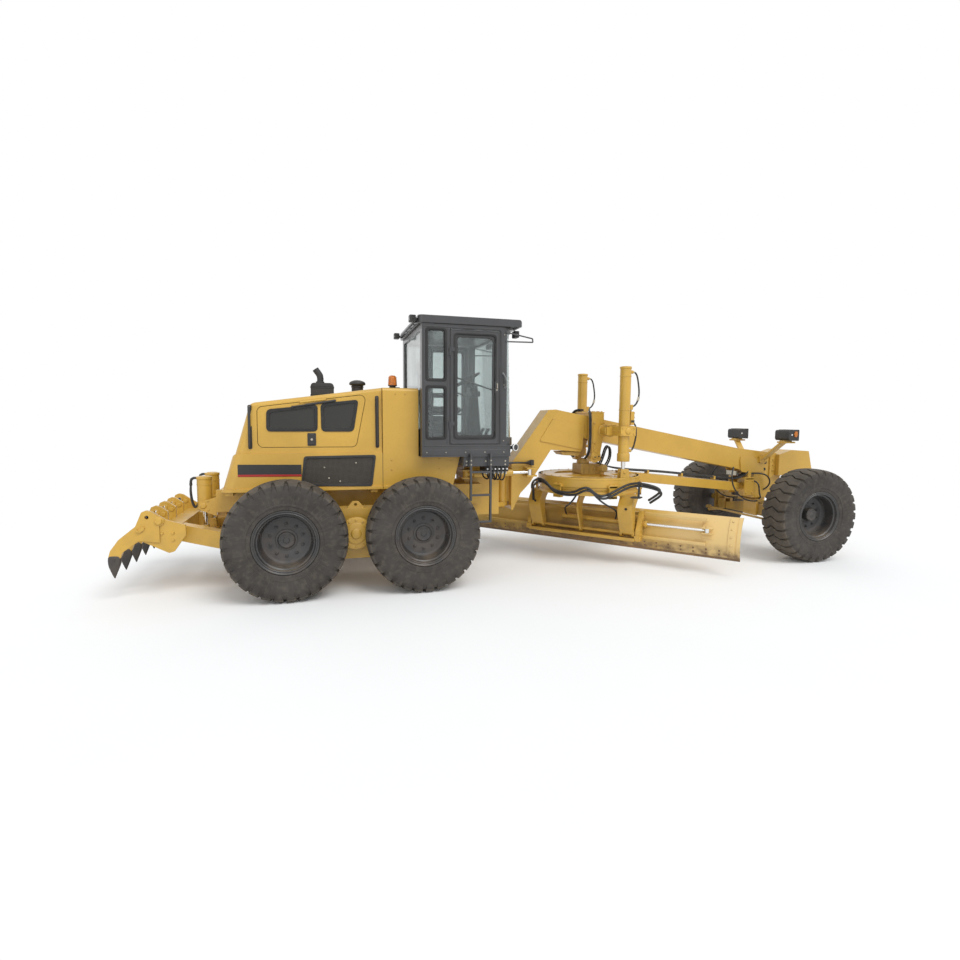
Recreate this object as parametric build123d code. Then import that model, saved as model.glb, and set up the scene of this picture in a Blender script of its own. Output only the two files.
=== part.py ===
from build123d import *
import os
from math import asin, atan2, cos, degrees, hypot, pi, radians, sin, tan

# Motor grader, in millimetres. X runs forward from the tandem pivot, Y to the left, Z up from the ground.
# The finished parts are moved back by MID_X, so that the origin lies under the middle of the machine.
MID_X = 2370
SEAT = 0.3
RUN = 6
PIN_FIT = 0.3

# Wheels
TYRE_R = 674
TYRE_HALF = 222
WALL_R = 560
TREAD_HALF = 196
LUGS = 30
LUG_SHARE = 0.56
LUG_LEAD = 66
GROOVE_DEPTH = 26
SHOULDER_DROP = 20
SHOULDER_DEPTH = 32
BEAD_R = 318
BEAD_HALF = 178
FLANGE_R = 355
FLANGE_T = 14
RIM_WALL = 13
TRACK_HALF = 1080
AXLE_Z = TYRE_R
TANDEM_HALF = 770
WHEELBASE = 6478
HUB_IN = 900
DISC_T = 16
HUB_R = 95
SLEEVE_R = 110
STUB_R = 50
STUB_END = 990

# Rear frame and what it carries
RAIL_IN = 300
RAIL_T = 80
FRAME_TOP = 1165
RAIL_LOW = 900
REAR_END = -1600
BODY_BASE = FRAME_TOP + SEAT
BODY_HALF = 660
BODY_WALL = 30
HOOD_LEDGE = 1610
HOOD_SET = 22
TOP_HALF = 610
HOOD_FRONT = 340
TANK_REAR = HOOD_FRONT + 5
TANK_FRONT = 785
TANK_TOP = 2405
LEDGE_Z = 1560
CASE_IN = 615
CASE_OUT = 825

# Cab
CAB_REAR = 800
CAB_FRONT = 2005
CAB_LEAN = 40
CAB_CORNER_R = 170
CAB_HALF = 825
CAB_WALL = 50
CAB_BASE = LEDGE_Z + SEAT
CAB_FLOOR = 1700
CAB_TOP = 3180
ROOF_T = 90
GLASS_T = 8

# Articulation and front frame
PIVOT_X = 2100
PIVOT_R = 40
EAR_R = 80
EAR_T = 60
EAR_LOW = 800
EAR_HIGH = 1300
NECK_HALF = 160
NECK_REAR = PIVOT_X + EAR_R + RUN
SADDLE_X = 3430
LIFT_X = SADDLE_X + 220
LIFT_Y = 660
TRUNNION_Z = 1880
BARREL_R = 75
ROD_R = 30
BALL_X = WHEELBASE - 278
BALL_Z = 980

# Blade group, laid out square across the machine and then turned with the circle
CIRCLE_X = SADDLE_X + 20
CIRCLE_TURN = 40.8
CIRCLE_R = 730
CIRCLE_IN = 560
RING_TOP = 1100
RING_LOW = 985
PLATE_TOP = 1235
ARM_ALONG = 700
ARM_HALF = 100
BLADE_HALF = 2135
BLADE_R = 413
BLADE_CENTRE = (344, 385)
BLADE_T = 20
BLADE_LOW = 240
BLADE_TOP = 750
EDGE_LOW = 190
EDGE_TOP = 345
EDGE_T = 18
PITCH_X = -200
PITCH_Z = 440

# Ripper
RIPPER_X = -1300
RIPPER_Z = 600
RIPPER_CYL_X = -1745
RIPPER_CYL_Y = 250
SHANK_STEP = 365
SHANK_T = 45


def block(x0, x1, y0, y1, z0, z1):
    return Pos((x0 + x1) / 2, (y0 + y1) / 2, (z0 + z1) / 2) * Box(x1 - x0, y1 - y0, z1 - z0)


def outline_face(points, rounds):
    """The face inside an outline, some of its corners rounded: rounds lists (corner's index, radius)."""
    face = make_face(Polyline(*points, close=True))
    for index, radius in rounds:
        face = fillet(face.vertices().sort_by_distance(points[index])[:1], radius)
    return face


def side_plate(points, y0, y1, corner=0):
    """A plate cut to a side view outline, from y0 to y1."""
    face = make_face(Polyline(*points, close=True))
    if corner:
        face = fillet(face.vertices(), corner)
    return extrude(Plane.XZ.offset(-y1) * face, y1 - y0)


def plan_plate(points, z0, z1, corner=0):
    """A plate cut to an outline seen from above, from z0 to z1."""
    face = make_face(Polyline(*points, close=True))
    if corner:
        face = fillet(face.vertices(), corner)
    return extrude(Plane.XY.offset(z0) * face, z1 - z0)


def bar(start, end, radius):
    """A round bar between two points."""
    run = Vector(*end) - Vector(*start)
    return extrude(Plane(origin=start, z_dir=run) * Circle(radius), run.length)


def cross_bar(x, z, radius, y0, y1):
    return bar((x, y0, z), (x, y1, z), radius)


def post(x, y, radius, z0, z1):
    return bar((x, y, z0), (x, y, z1), radius)


def lathe(x, y, profile):
    """A round body on an upright axis, turned from a profile of (radius, height)."""
    return Pos(x, y, 0) * revolve(Plane.XZ * make_face(Polyline(*profile, close=True)), Axis.Z)


def other_side(shape):
    return mirror(shape, about=Plane.XZ)


def both_sides(shape):
    return shape + other_side(shape)


# Wheels


def lug_ring(y, lug_r, groove_r, lead):
    """The points round one row of the tread: to each pitch, a lug's two edges and the groove after it."""
    step = 2 * pi / LUGS
    points = []
    for index in range(LUGS):
        for share, radius in ((-LUG_SHARE / 2, lug_r), (LUG_SHARE / 2, lug_r), (0.5, groove_r)):
            angle = (index + share) * step + (lead - LUG_LEAD) / TYRE_R
            points.append((-radius * sin(angle), y, -radius * cos(angle)))
    return points


def plain_ring(y, radius):
    """A smooth row of the tyre's wall: one corner to a pitch, repeated to go with the tread's three."""
    corner_r = radius / cos(pi / LUGS)
    corners = []
    for index in range(LUGS):
        angle = (index + 0.5) * 2 * pi / LUGS - LUG_LEAD / TYRE_R
        corners.append((-corner_r * sin(angle), y, -corner_r * cos(angle)))
    return [corners[index + share] for index in range(LUGS) for share in (-1, -1, 0)]


def tyre():
    """The left tyre about its own centre, its axle along Y, with a V-shaped lug at every pitch."""
    lug_r = TYRE_R / cos(LUG_SHARE * pi / LUGS)
    shoulder_r = lug_r - SHOULDER_DROP
    shoulder_groove_r = shoulder_r - SHOULDER_DEPTH
    rings = [
        plain_ring(-BEAD_HALF, BEAD_R), plain_ring(-BEAD_HALF, FLANGE_R), plain_ring(-TYRE_HALF, WALL_R),
        lug_ring(-TREAD_HALF, shoulder_r, shoulder_groove_r, 0),
        lug_ring(0, lug_r, TYRE_R - GROOVE_DEPTH, LUG_LEAD),
        lug_ring(TREAD_HALF, shoulder_r, shoulder_groove_r, 0),
        plain_ring(TYRE_HALF, WALL_R), plain_ring(BEAD_HALF, FLANGE_R), plain_ring(BEAD_HALF, BEAD_R),
    ]
    faces = []
    for ring, following in zip(rings, rings[1:] + rings[:1]):
        for index in range(len(ring)):
            a = ring[index - 1]
            b = ring[index]
            c = following[index]
            d = following[index - 1]
            for corners in ((a, b, c), (a, c, d)):
                if len(set(corners)) == 3:
                    faces.append(Face(Wire.make_polygon(corners)))
    return Solid(Shell(faces))


def rim(disc_in, hub_out):
    """The left rim about the tyre's centre: barrel, two flanges, a dished disc and the hub."""
    outer = BEAD_R - SEAT
    inner = outer - RIM_WALL
    edge = BEAD_HALF + SEAT
    lip = edge + FLANGE_T
    disc_out = disc_in + DISC_T
    hub_in = HUB_IN - TRACK_HALF
    bore_end = STUB_END + RUN - TRACK_HALF
    bore = STUB_R + PIN_FIT
    outline = [
        (bore, hub_in), (SLEEVE_R, hub_in), (SLEEVE_R, disc_in), (inner, disc_in), (inner, -lip),
        (FLANGE_R, -lip), (FLANGE_R, -edge), (outer, -edge), (outer, edge), (FLANGE_R, edge),
        (FLANGE_R, lip), (inner, lip), (inner, disc_out), (HUB_R, disc_out), (HUB_R, hub_out),
        (0, hub_out), (0, bore_end), (bore, bore_end),
    ]
    return revolve(make_face(Polyline(*outline, close=True)), Axis.Y)


# Each axle: name, place along the machine, then from the middle of the tyre the disc's inner face and the hub's end
AXLES = [
    ("rear", -TANDEM_HALF, 1, 39),
    ("mid", TANDEM_HALF, 1, 39),
    ("front", WHEELBASE, -49, 62),
]


def wheel_parts():
    shapes = {}
    left_tyre = tyre()
    for axle, x, disc_in, hub_out in AXLES:
        left_rim = rim(disc_in, hub_out)
        for side_name, side in (("right", -1), ("left", 1)):
            for kind, shape in (("tyre", left_tyre), ("rim", left_rim)):
                placed = shape if side > 0 else other_side(shape)
                shapes[f"{kind}_{axle}_{side_name}"] = Pos(x, side * TRACK_HALF, AXLE_Z) * placed
    return shapes


# Rear frame, axle and tandems

TOWER_REAR = 1480
TOWER_FRONT = 1975
TOWER_HALF = 240
TOWER_LOW = 720
TOWER_TOP = 1435
SKIRT_LOW = TOWER_TOP + SEAT
ART_BASE = (1450, 420, 1300)
ART_EYE = (2400, 300, 1300)
ART_PIN_R = 20
ART_EYE_R = 36
ART_EYE_HALF = 40
CHEEK_T = 20
RIPPER_PIN_R = 30
RIPPER_LUG_OUT = 380
RIPPER_ARM_IN = 390
RIPPER_ARM_OUT = 560
RIPPER_TRUNNION_Z = 980
RIPPER_BARREL_R = 83


def articulation_bracket():
    """The bracket bolted to the tower's left side: foot, two plates and the pin of the cylinder's base."""
    x, y, z = ART_BASE
    low = z - ART_EYE_HALF - SEAT
    high = z + ART_EYE_HALF + SEAT
    foot = TOWER_HALF + SEAT
    bracket = block(TOWER_REAR, x + 130, foot, foot + CHEEK_T, low - CHEEK_T, high + CHEEK_T)
    bracket += block(x - 50, x + 80, foot, y + 45, high, high + CHEEK_T)
    bracket += block(x - 50, x + 80, foot, y + 45, low - CHEEK_T, low)
    return bracket + post(x, y, ART_PIN_R, low - CHEEK_T, high + CHEEK_T)


def rear_frame():
    rails = block(REAR_END, TOWER_REAR + 200, RAIL_IN, RAIL_IN + RAIL_T, RAIL_LOW, FRAME_TOP)
    frame = both_sides(rails)
    frame += block(REAR_END, REAR_END + 100, -RAIL_IN - 1, RAIL_IN + 1, 820, 1085)
    frame += block(250, 350, -RAIL_IN - 1, RAIL_IN + 1, RAIL_LOW, FRAME_TOP - 60)
    for x in (-1450, -620, 200):
        frame += block(x, x + 80, -BODY_HALF + 10, BODY_HALF - 10, FRAME_TOP - 40, FRAME_TOP)
    tower = [
        (TOWER_REAR, TOWER_LOW + 180), (TOWER_REAR + 120, TOWER_LOW), (TOWER_FRONT, TOWER_LOW),
        (TOWER_FRONT, TOWER_TOP), (TOWER_REAR, TOWER_TOP),
    ]
    frame += side_plate(tower, -TOWER_HALF, TOWER_HALF)
    frame += block(TOWER_REAR, TOWER_REAR + 200, -RAIL_IN - 1, RAIL_IN + 1, RAIL_LOW, FRAME_TOP)
    ear = [(TOWER_FRONT - 5, -150), (PIVOT_X, -EAR_R), (PIVOT_X, EAR_R), (TOWER_FRONT - 5, 150)]
    for z in (EAR_LOW, EAR_HIGH - EAR_T):
        frame += plan_plate(ear, z, z + EAR_T)
        frame += post(PIVOT_X, 0, EAR_R, z, z + EAR_T)
    frame += post(PIVOT_X, 0, PIVOT_R, EAR_LOW - 30, EAR_HIGH + 30)
    frame += both_sides(articulation_bracket())
    return frame + both_sides(ripper_hanger()) + both_sides(ripper_bracket())


def ripper_hanger():
    """The lug bolted under the left rail, with the pin that the ripper's arm turns on."""
    lug = [
        (RIPPER_X - 80, RAIL_LOW - SEAT), (RIPPER_X - 60, RIPPER_Z - 60), (RIPPER_X + 60, RIPPER_Z - 60),
        (RIPPER_X + 120, RAIL_LOW - SEAT),
    ]
    hanger = side_plate(lug, RAIL_IN, RIPPER_LUG_OUT)
    return hanger + cross_bar(RIPPER_X, RIPPER_Z, RIPPER_PIN_R, RAIL_IN, RIPPER_ARM_OUT + 20)


def ripper_bracket():
    """The two plates bolted behind the frame that carry one ripper cylinder by its trunnion pins."""
    outline = [
        (REAR_END - SEAT, RIPPER_TRUNNION_Z - 130), (RIPPER_CYL_X - 45, RIPPER_TRUNNION_Z - 45),
        (RIPPER_CYL_X - 45, RIPPER_TRUNNION_Z + 45), (REAR_END - SEAT, RIPPER_TRUNNION_Z + 100),
    ]
    gap = RIPPER_BARREL_R + RUN
    plates = side_plate(outline, RIPPER_CYL_Y - gap - 25, RIPPER_CYL_Y - gap)
    plates += side_plate(outline, RIPPER_CYL_Y + gap, RIPPER_CYL_Y + gap + 25)
    return plates - cross_bar(RIPPER_CYL_X, RIPPER_TRUNNION_Z, 22 + PIN_FIT, 0, 500)


def rear_axle():
    axle = cross_bar(0, AXLE_Z, 110, -CASE_IN + SEAT, CASE_IN - SEAT)
    axle += Pos(0, 0, AXLE_Z) * Sphere(215)
    pads = block(-120, 120, RAIL_IN, RAIL_IN + RAIL_T, AXLE_Z + 60, RAIL_LOW - SEAT)
    return axle + both_sides(pads)


def tandem_case():
    """The left chain case, with its lifting lug, axle boss and two wheel stubs."""
    outline = [
        (-350, 355), (350, 355), (820, 490), (950, 600), (950, 750), (820, 860), (450, 962),
        (-450, 962), (-820, 860), (-950, 750), (-950, 600), (-820, 490),
    ]
    case = side_plate(outline, CASE_IN, CASE_OUT, 25)
    lug = side_plate([(-110, 955), (110, 955), (35, 1045), (-35, 1045)], CASE_OUT - 30, CASE_OUT - 5, 15)
    lug -= cross_bar(LUG_X, LUG_Z, LUG_BORE_R, CASE_IN, CASE_OUT)
    case += lug
    case += cross_bar(0, AXLE_Z, 88, CASE_OUT - 1, CASE_OUT + 45)
    case += cross_bar(0, AXLE_Z, 55, CASE_OUT, CASE_OUT + 75)
    for x in (-TANDEM_HALF, TANDEM_HALF):
        case += cross_bar(x, AXLE_Z, 120, CASE_OUT - 1, HUB_IN - RUN)
        case += cross_bar(x, AXLE_Z, STUB_R, CASE_OUT, STUB_END)
    return case


LUG_X = 0
LUG_Z = 1005
LUG_BORE_R = 18


def engine_block():
    return block(-1150, 0, -360, 360, BODY_BASE, 1950)


# Hood, tank and what stands on them

HOOD_SLOPE = 7.8
HOOD_REAR_LOW = -1500
HOOD_REAR_LEAN = 16.4
HOOD_TOP_REAR = (-1120, 2204)
HOOD_CORNER_R = 130
HOOD_BACK_R = 110
HOOD_LEDGE_R = 80
HOOD_EDGE_R = 45
BODY_TOP_LOW = 2100
LIP_OUT = 24
LIP_HIGH = 34


def hood_top(x):
    """The height of the hood's top at a place along the machine."""
    return HOOD_TOP_REAR[1] + (x - HOOD_TOP_REAR[0]) * tan(radians(HOOD_SLOPE))


def hood_rear(z, inset=0):
    """Where the hood's leaning rear wall, moved in by inset, stands at a height."""
    lean = radians(HOOD_REAR_LEAN)
    return HOOD_REAR_LOW + (z - BODY_BASE) * tan(lean) + inset / cos(lean)


def hood_back_corner(inset):
    """Where the lines of the hood's rear wall and of its top, both moved in by inset, meet."""
    lean = tan(radians(HOOD_REAR_LEAN))
    slope = tan(radians(HOOD_SLOPE))
    drop = inset / cos(radians(HOOD_SLOPE))
    rise = hood_top(0) - drop - BODY_BASE
    x = (hood_rear(BODY_BASE, inset) + rise * lean) / (1 - slope * lean)
    return (x, hood_top(x) - drop)


def leaning_plan(inset, low, high):
    """The hood's plan, round at its rear corners, carried up along the leaning rear wall."""
    half = BODY_HALF - inset
    rear = hood_rear(low, inset)
    corners = [(rear, -half), (HOOD_FRONT, -half), (HOOD_FRONT, half), (rear, half)]
    radius = HOOD_CORNER_R - inset
    face = Pos(0, 0, low) * outline_face(corners, [(0, radius), (3, radius)])
    return Solid.extrude(face.face(), (hood_rear(high) - hood_rear(low), 0, high - low))


def hood_lower(inset):
    """The hood's lower body, up to its ledge."""
    low = BODY_BASE - (1 if inset else 0)
    ledge = HOOD_LEDGE - inset
    outline = [
        (hood_rear(low, inset), low), (HOOD_FRONT, low),
        (HOOD_FRONT, ledge), (hood_rear(ledge, inset), ledge),
    ]
    half = BODY_HALF - inset
    body = extrude(Plane.XZ.offset(-half) * outline_face(outline, [(3, HOOD_LEDGE_R - inset)]), 2 * half)
    return body & leaning_plan(inset, low, HOOD_LEDGE)


def hood_upper(inset):
    """The hood's upper body, set in from the lower one and narrowing to its round-edged top."""
    low = BODY_BASE - (1 if inset else 0)
    set_in = inset + HOOD_SET
    half = BODY_HALF - set_in
    crown = hood_top(HOOD_FRONT) + 100
    drop = inset / cos(radians(HOOD_SLOPE))
    outline = [
        (hood_rear(low, set_in), low), (HOOD_FRONT, low), (HOOD_FRONT, hood_top(HOOD_FRONT) - drop),
        (hood_back_corner(set_in)[0], hood_top(hood_back_corner(set_in)[0]) - drop),
    ]
    section = [
        (-half, low), (half, low), (half, HOOD_LEDGE), (TOP_HALF - inset, crown),
        (inset - TOP_HALF, crown), (-half, HOOD_LEDGE),
    ]
    side = extrude(Plane.XZ.offset(-half) * outline_face(outline, [(3, HOOD_BACK_R - inset)]), 2 * half)
    length = HOOD_FRONT - HOOD_REAR_LOW
    section_face = make_face(Polyline(*section, close=True))
    body = side & extrude(Plane.YZ.offset(HOOD_REAR_LOW) * section_face, length)
    upper_edges = body.edges().filter_by(lambda edge: edge.length > 1000 and edge.center().Z > BODY_TOP_LOW)
    outer_edges = upper_edges.filter_by(lambda edge: abs(edge.center().Y) > half / 2)
    body = fillet(outer_edges, HOOD_EDGE_R - inset / 2)
    return body & leaning_plan(set_in, low, crown)


def hood_form(inset):
    """The hood as a solid, its walls moved in by inset."""
    return hood_lower(inset) + hood_upper(inset)


def hood_shell():
    lip = leaning_plan(-LIP_OUT, BODY_BASE, BODY_BASE + LIP_HIGH)
    lip &= block(HOOD_REAR_LOW - 50, HOOD_FRONT, -BODY_HALF - 50, BODY_HALF + 50, BODY_BASE, HOOD_LEDGE)
    shell = hood_form(0) + lip - hood_form(BODY_WALL)
    shell -= both_sides(side_plate(DOOR_OUTLINE, 200, BODY_HALF + 50, DOOR_CORNER + RUN))
    shell -= both_sides(side_plate(VENT_OUTLINE, 200, BODY_HALF + 50, 30))
    shell -= rear_opening(0)
    return shell


# The side door of the hood, seen from the side, and the vent below it
DOOR_CORNER = 60
DOOR_REAR = -1095
DOOR_FRONT = 160
DOOR_LOW = 1680
DOOR_SINK = 55
DOOR_OUTLINE = [
    (DOOR_REAR, DOOR_LOW), (DOOR_FRONT - 130, DOOR_LOW),
    (DOOR_FRONT, hood_top(DOOR_FRONT) - DOOR_SINK), (DOOR_REAR, hood_top(DOOR_REAR) - DOOR_SINK),
]
VENT_OUTLINE = [(-610, 1232), (200, 1212), (250, 1575), (-570, 1565)]
REAR_GRILLE_HALF = 480
REAR_GRILLE_LOW = 1260
REAR_GRILLE_TOP = 1910
SLOT_STEP = 44
SLOT_HIGH = 22
SLOT_HALF = 440
# The rows of slots in the radiator grille, below and above the hood's ledge: lowest slot, number of slots
SLOT_ROWS = [(1295, 6), (1655, 5)]


def inset_outline(points, gap):
    """An outline moved in by gap on every side."""
    face = make_face(Polyline(*points, close=True))
    return offset(face, -gap)


def door_prism(gap):
    face = fillet(inset_outline(DOOR_OUTLINE, gap).vertices(), DOOR_CORNER)
    return extrude(Plane.XZ.offset(-BODY_HALF - 50) * face, BODY_HALF - 150)


def hood_door():
    """The left side door of the hood: the shell's own wall inside the door's outline."""
    door = (hood_form(0) - hood_form(BODY_WALL)) & door_prism(RUN)
    for outline in DOOR_WINDOWS:
        door -= side_plate(outline, 200, BODY_HALF + 50, 25)
    x = (DOOR_REAR + DOOR_FRONT) / 2
    hinge = Pos(x, hinge_y(), hinge_z(x)) * Rot(0, 90 - HOOD_SLOPE, 0) * Cylinder(HOOD_HINGE_R, 300)
    leaf = Pos(x, hinge_y() - HOOD_HINGE_R + 4, hinge_z(x) - 26) * Rot(0, -HOOD_SLOPE, 0) * Box(300, 10, 40)
    return door + hinge + leaf


DOOR_WINDOWS = [
    [(-975, 1888), (-440, 1888), (-434, 2170), (-971, 2105)],
    [(-358, 1888), (-20, 1888), (42, 2236), (-364, 2182)],
]
HOOD_HINGE_R = 12
HINGE_SINK = 0.6


def hinge_z(x):
    """The height of the hood door's hinge line, which runs along the door's top edge."""
    return hood_top(x) - DOOR_SINK - RUN


def side_half(z):
    """Half the hood's width at a height above its ledge."""
    crown = hood_top(HOOD_FRONT) + 100
    half = BODY_HALF - HOOD_SET
    return half + (TOP_HALF - half) * (z - HOOD_LEDGE) / (crown - HOOD_LEDGE)


def hinge_y():
    middle = (DOOR_REAR + DOOR_FRONT) / 2
    return side_half(hinge_z(middle)) + HOOD_HINGE_R - HINGE_SINK


def rear_opening(gap):
    """The opening for the radiator grille in the hood's rear wall."""
    half = REAR_GRILLE_HALF - gap
    front = hood_rear(REAR_GRILLE_TOP) + 90
    return block(HOOD_REAR_LOW - 50, front, -half, half, REAR_GRILLE_LOW + gap, REAR_GRILLE_TOP - gap)


def hood_grilles():
    """The slotted radiator grille behind and the two dark side vents, each set flush in its opening."""
    skin = hood_form(4) - hood_form(BODY_WALL - 4)
    rear = skin & rear_opening(SEAT)
    for lowest, count in SLOT_ROWS:
        for index in range(count):
            z = lowest + index * SLOT_STEP
            rear -= block(HOOD_REAR_LOW - 50, 0, -SLOT_HALF, SLOT_HALF, z, z + SLOT_HIGH)
    face = fillet(inset_outline(VENT_OUTLINE, SEAT).vertices(), 30)
    vent = skin & extrude(Plane.XZ.offset(-BODY_HALF - 50) * face, BODY_HALF - 150)
    return rear + both_sides(vent)


def tank_box():
    outline = [
        (TANK_REAR, BODY_BASE), (1225, BODY_BASE), (1316, LEDGE_Z), (TANK_FRONT, LEDGE_Z),
        (TANK_FRONT, TANK_TOP), (TANK_REAR, TANK_TOP),
    ]
    box = side_plate(outline, -BODY_HALF, BODY_HALF)
    box = fillet(box.edges().filter_by(Axis.X).group_by(Axis.Z)[-1], HOOD_EDGE_R)
    lip_half = BODY_HALF + LIP_OUT
    return box + block(TANK_REAR, LIP_FRONT, -lip_half, lip_half, BODY_BASE, BODY_BASE + LIP_HIGH)


LIP_FRONT = 1215
MUFFLER_Y = -200
BEACON_Y = -380


def exhaust_intake():
    """The muffler with its bent pipe, and the air intake's cap on its neck."""
    muffler = block(-498, -220, MUFFLER_Y - 110, MUFFLER_Y + 110, 2200, 2465)
    muffler = fillet(muffler.edges().group_by(Axis.Z)[-1], 35)
    pipe = post(-385, MUFFLER_Y, 45, 2440, 2560) + bar((-385, MUFFLER_Y, 2545), (-400, MUFFLER_Y, 2640), 38)
    neck = post(85, 0, 78, 2300, 2475)
    cap = lathe(85, 0, [(0, 2470), (104, 2470), (104, 2485), (85, 2512), (45, 2526), (0, 2530)])
    below = side_plate([
        (-600, 2000), (300, 2000), (300, hood_top(300) + SEAT), (-600, hood_top(-600) + SEAT)], -400, 400)
    return muffler + pipe + neck + cap - below


# Cab

DOOR_X = (1146, 1790)
DOOR_Z = (CAB_FLOOR + 15, CAB_TOP - 55)
SKIRT_FRONT = CAB_FRONT - 65
POST_FRONT = 1885
REAR_WINDOW_X = (860, 1090)
WINDOW_TOP = CAB_TOP - 70
WINDOW_RAIL = (CAB_FLOOR + CAB_TOP) / 2 + 20
# The two panes at each rear corner: bottom, top
REAR_WINDOW_Z = ((CAB_FLOOR + 90, WINDOW_RAIL - 40), (WINDOW_RAIL + 40, WINDOW_TOP))
CAB_HINGE_R = 13
GRAB_R = 9
GRAB_Y = CAB_HALF - 13
# The grab rod at each front corner of the roof, seen from the side
GRAB_ROUTE = [
    (POST_FRONT - 20, CAB_TOP - 64), (CAB_FRONT + 217, CAB_TOP - 129), (CAB_FRONT + 222, CAB_TOP - 174),
    (POST_FRONT - 20, CAB_TOP - 180),
]


def cab_form(inset):
    """The cab above its floor as a solid, round at its front corners, its walls moved in by inset."""
    outline = [
        (CAB_REAR + inset, CAB_FLOOR + inset), (CAB_FRONT - inset, CAB_FLOOR + inset),
        (CAB_FRONT - CAB_LEAN - inset, CAB_TOP - inset), (CAB_REAR + inset, CAB_TOP - inset),
    ]
    half = CAB_HALF - inset
    form = side_plate(outline, -half, half)
    front = form.faces().sort_by(Axis.X)[-1]
    corners = front.edges().filter_by(lambda edge: abs(edge.center().Y) > half / 2)
    return fillet(corners, CAB_CORNER_R - inset)


def cab_windows(gap):
    """The cutters of the fixed windows: two at each rear corner, one behind and the wrapped windscreen."""
    cutters = []
    for low, high in REAR_WINDOW_Z:
        x0, x1 = REAR_WINDOW_X
        pane = block(x0 + gap, x1 - gap, 500, CAB_HALF + 50, low + gap, high - gap)
        cutters += [pane, other_side(pane)]
    rear_half = CAB_HALF - 125 - gap
    top = WINDOW_TOP - gap
    cutters.append(block(CAB_REAR - 50, CAB_REAR + 200, -rear_half, rear_half, CAB_FLOOR + 200 + gap, top))
    reach = CAB_HALF + 50
    cutters.append(block(POST_FRONT + gap, CAB_FRONT + 50, -reach, reach, CAB_FLOOR + 100 + gap, top))
    return cutters


def cab_frame():
    cab = cab_form(0) - cab_form(CAB_WALL)
    for cutter in cab_windows(0):
        cab -= cutter
    opening = block(DOOR_X[0], DOOR_X[1], 500, CAB_HALF + 50, DOOR_Z[0], DOOR_Z[1])
    cab -= both_sides(opening)
    skirt = block(CAB_REAR, SKIRT_FRONT, -CAB_HALF, CAB_HALF, CAB_BASE, CAB_FLOOR + 1)
    lower = block(1330, SKIRT_FRONT - 10, -CAB_HALF + 25, CAB_HALF - 25, SKIRT_LOW, CAB_BASE + 1)
    cab += skirt + lower
    for (x0, z0), (x1, z1) in zip(GRAB_ROUTE, GRAB_ROUTE[1:]):
        cab += both_sides(bar((x0, GRAB_Y, z0), (x1, GRAB_Y, z1), GRAB_R))
    for z in CAB_HINGE_Z:
        cab += both_sides(cab_hinge(z - 45, z - SEAT / 2, DOOR_X[0] - 40, DOOR_X[0]))
    return cab


CAB_HINGE_Z = (CAB_FLOOR + 250, CAB_TOP - 330)


def cab_hinge(low, high, x0, x1):
    """One half of a door hinge on the left: its barrel and the leaf that carries it."""
    barrel = post(DOOR_X[0], CAB_HALF + CAB_HINGE_R, CAB_HINGE_R, low, high)
    return barrel + block(x0, x1, CAB_HALF - 1, CAB_HALF + 8, low, high)


def cab_glass():
    """The fixed panes, each in the middle of the wall's thickness."""
    skin = cab_form(CAB_WALL / 2 - GLASS_T / 2) - cab_form(CAB_WALL / 2 + GLASS_T / 2)
    panes = None
    for cutter in cab_windows(SEAT):
        pane = skin & cutter
        panes = pane if panes is None else panes + pane
    return panes


def cab_door():
    """The left door's frame, with its window cut and its half of the hinges."""
    x0 = DOOR_X[0] + RUN
    x1 = DOOR_X[1] - RUN
    z0 = DOOR_Z[0] + RUN
    z1 = DOOR_Z[1] - RUN
    door = block(x0, x1, CAB_HALF - CAB_WALL + 5, CAB_HALF, z0, z1)
    door -= block(x0 + DOOR_STILE, x1 - DOOR_STILE, 500, 900, z0 + DOOR_SILL, z1 - DOOR_STILE)
    for z in CAB_HINGE_Z:
        door += cab_hinge(z + SEAT / 2, z + 45, DOOR_X[0], DOOR_X[0] + 60)
    return door


DOOR_STILE = 55
DOOR_SILL = 70


def cab_door_glass():
    inset = RUN + DOOR_STILE + SEAT
    return block(DOOR_X[0] + inset, DOOR_X[1] - inset, CAB_HALF - 27, CAB_HALF - 27 + GLASS_T,
                 DOOR_Z[0] + RUN + DOOR_SILL + SEAT, DOOR_Z[1] - inset)


def cab_roof():
    """The roof slab, round at its corners, with a rolled front lip."""
    front = CAB_FRONT + 80
    low = CAB_TOP + SEAT
    high = low + ROOF_T
    half = CAB_HALF + 15
    corners = [(ROOF_REAR, low), (front, low), (front, high), (ROOF_REAR, high)]
    slab = outline_face(corners, [(1, 30), (2, 50)])
    corners = [(ROOF_REAR, -half), (front, -half), (front, half), (ROOF_REAR, half)]
    plan = plan_plate(corners, low, high, 60)
    return extrude(Plane.XZ.offset(-half) * slab, 2 * half) & plan


ROOF_REAR = CAB_REAR - 40


def seat_solids():
    floor = CAB_FLOOR + CAB_WALL + SEAT
    pedestal = block(1030, 1330, -160, 160, floor, 2080)
    pan = block(950, 1450, -250, 250, 2080, 2200)
    top = CAB_TOP - 380
    back = side_plate([(950, 2150), (1060, 2150), (1000, top), (900, top)], -240, 240, 30)
    rests = both_sides(block(1010, 1380, 270, 330, 2330, 2370) + block(1010, 1060, 245, 300, 2180, 2350))
    return pedestal + pan + back + rests


WHEEL_AT = (1570, CAB_TOP - 610)
WHEEL_R = 190
WHEEL_TILT = -30


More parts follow.
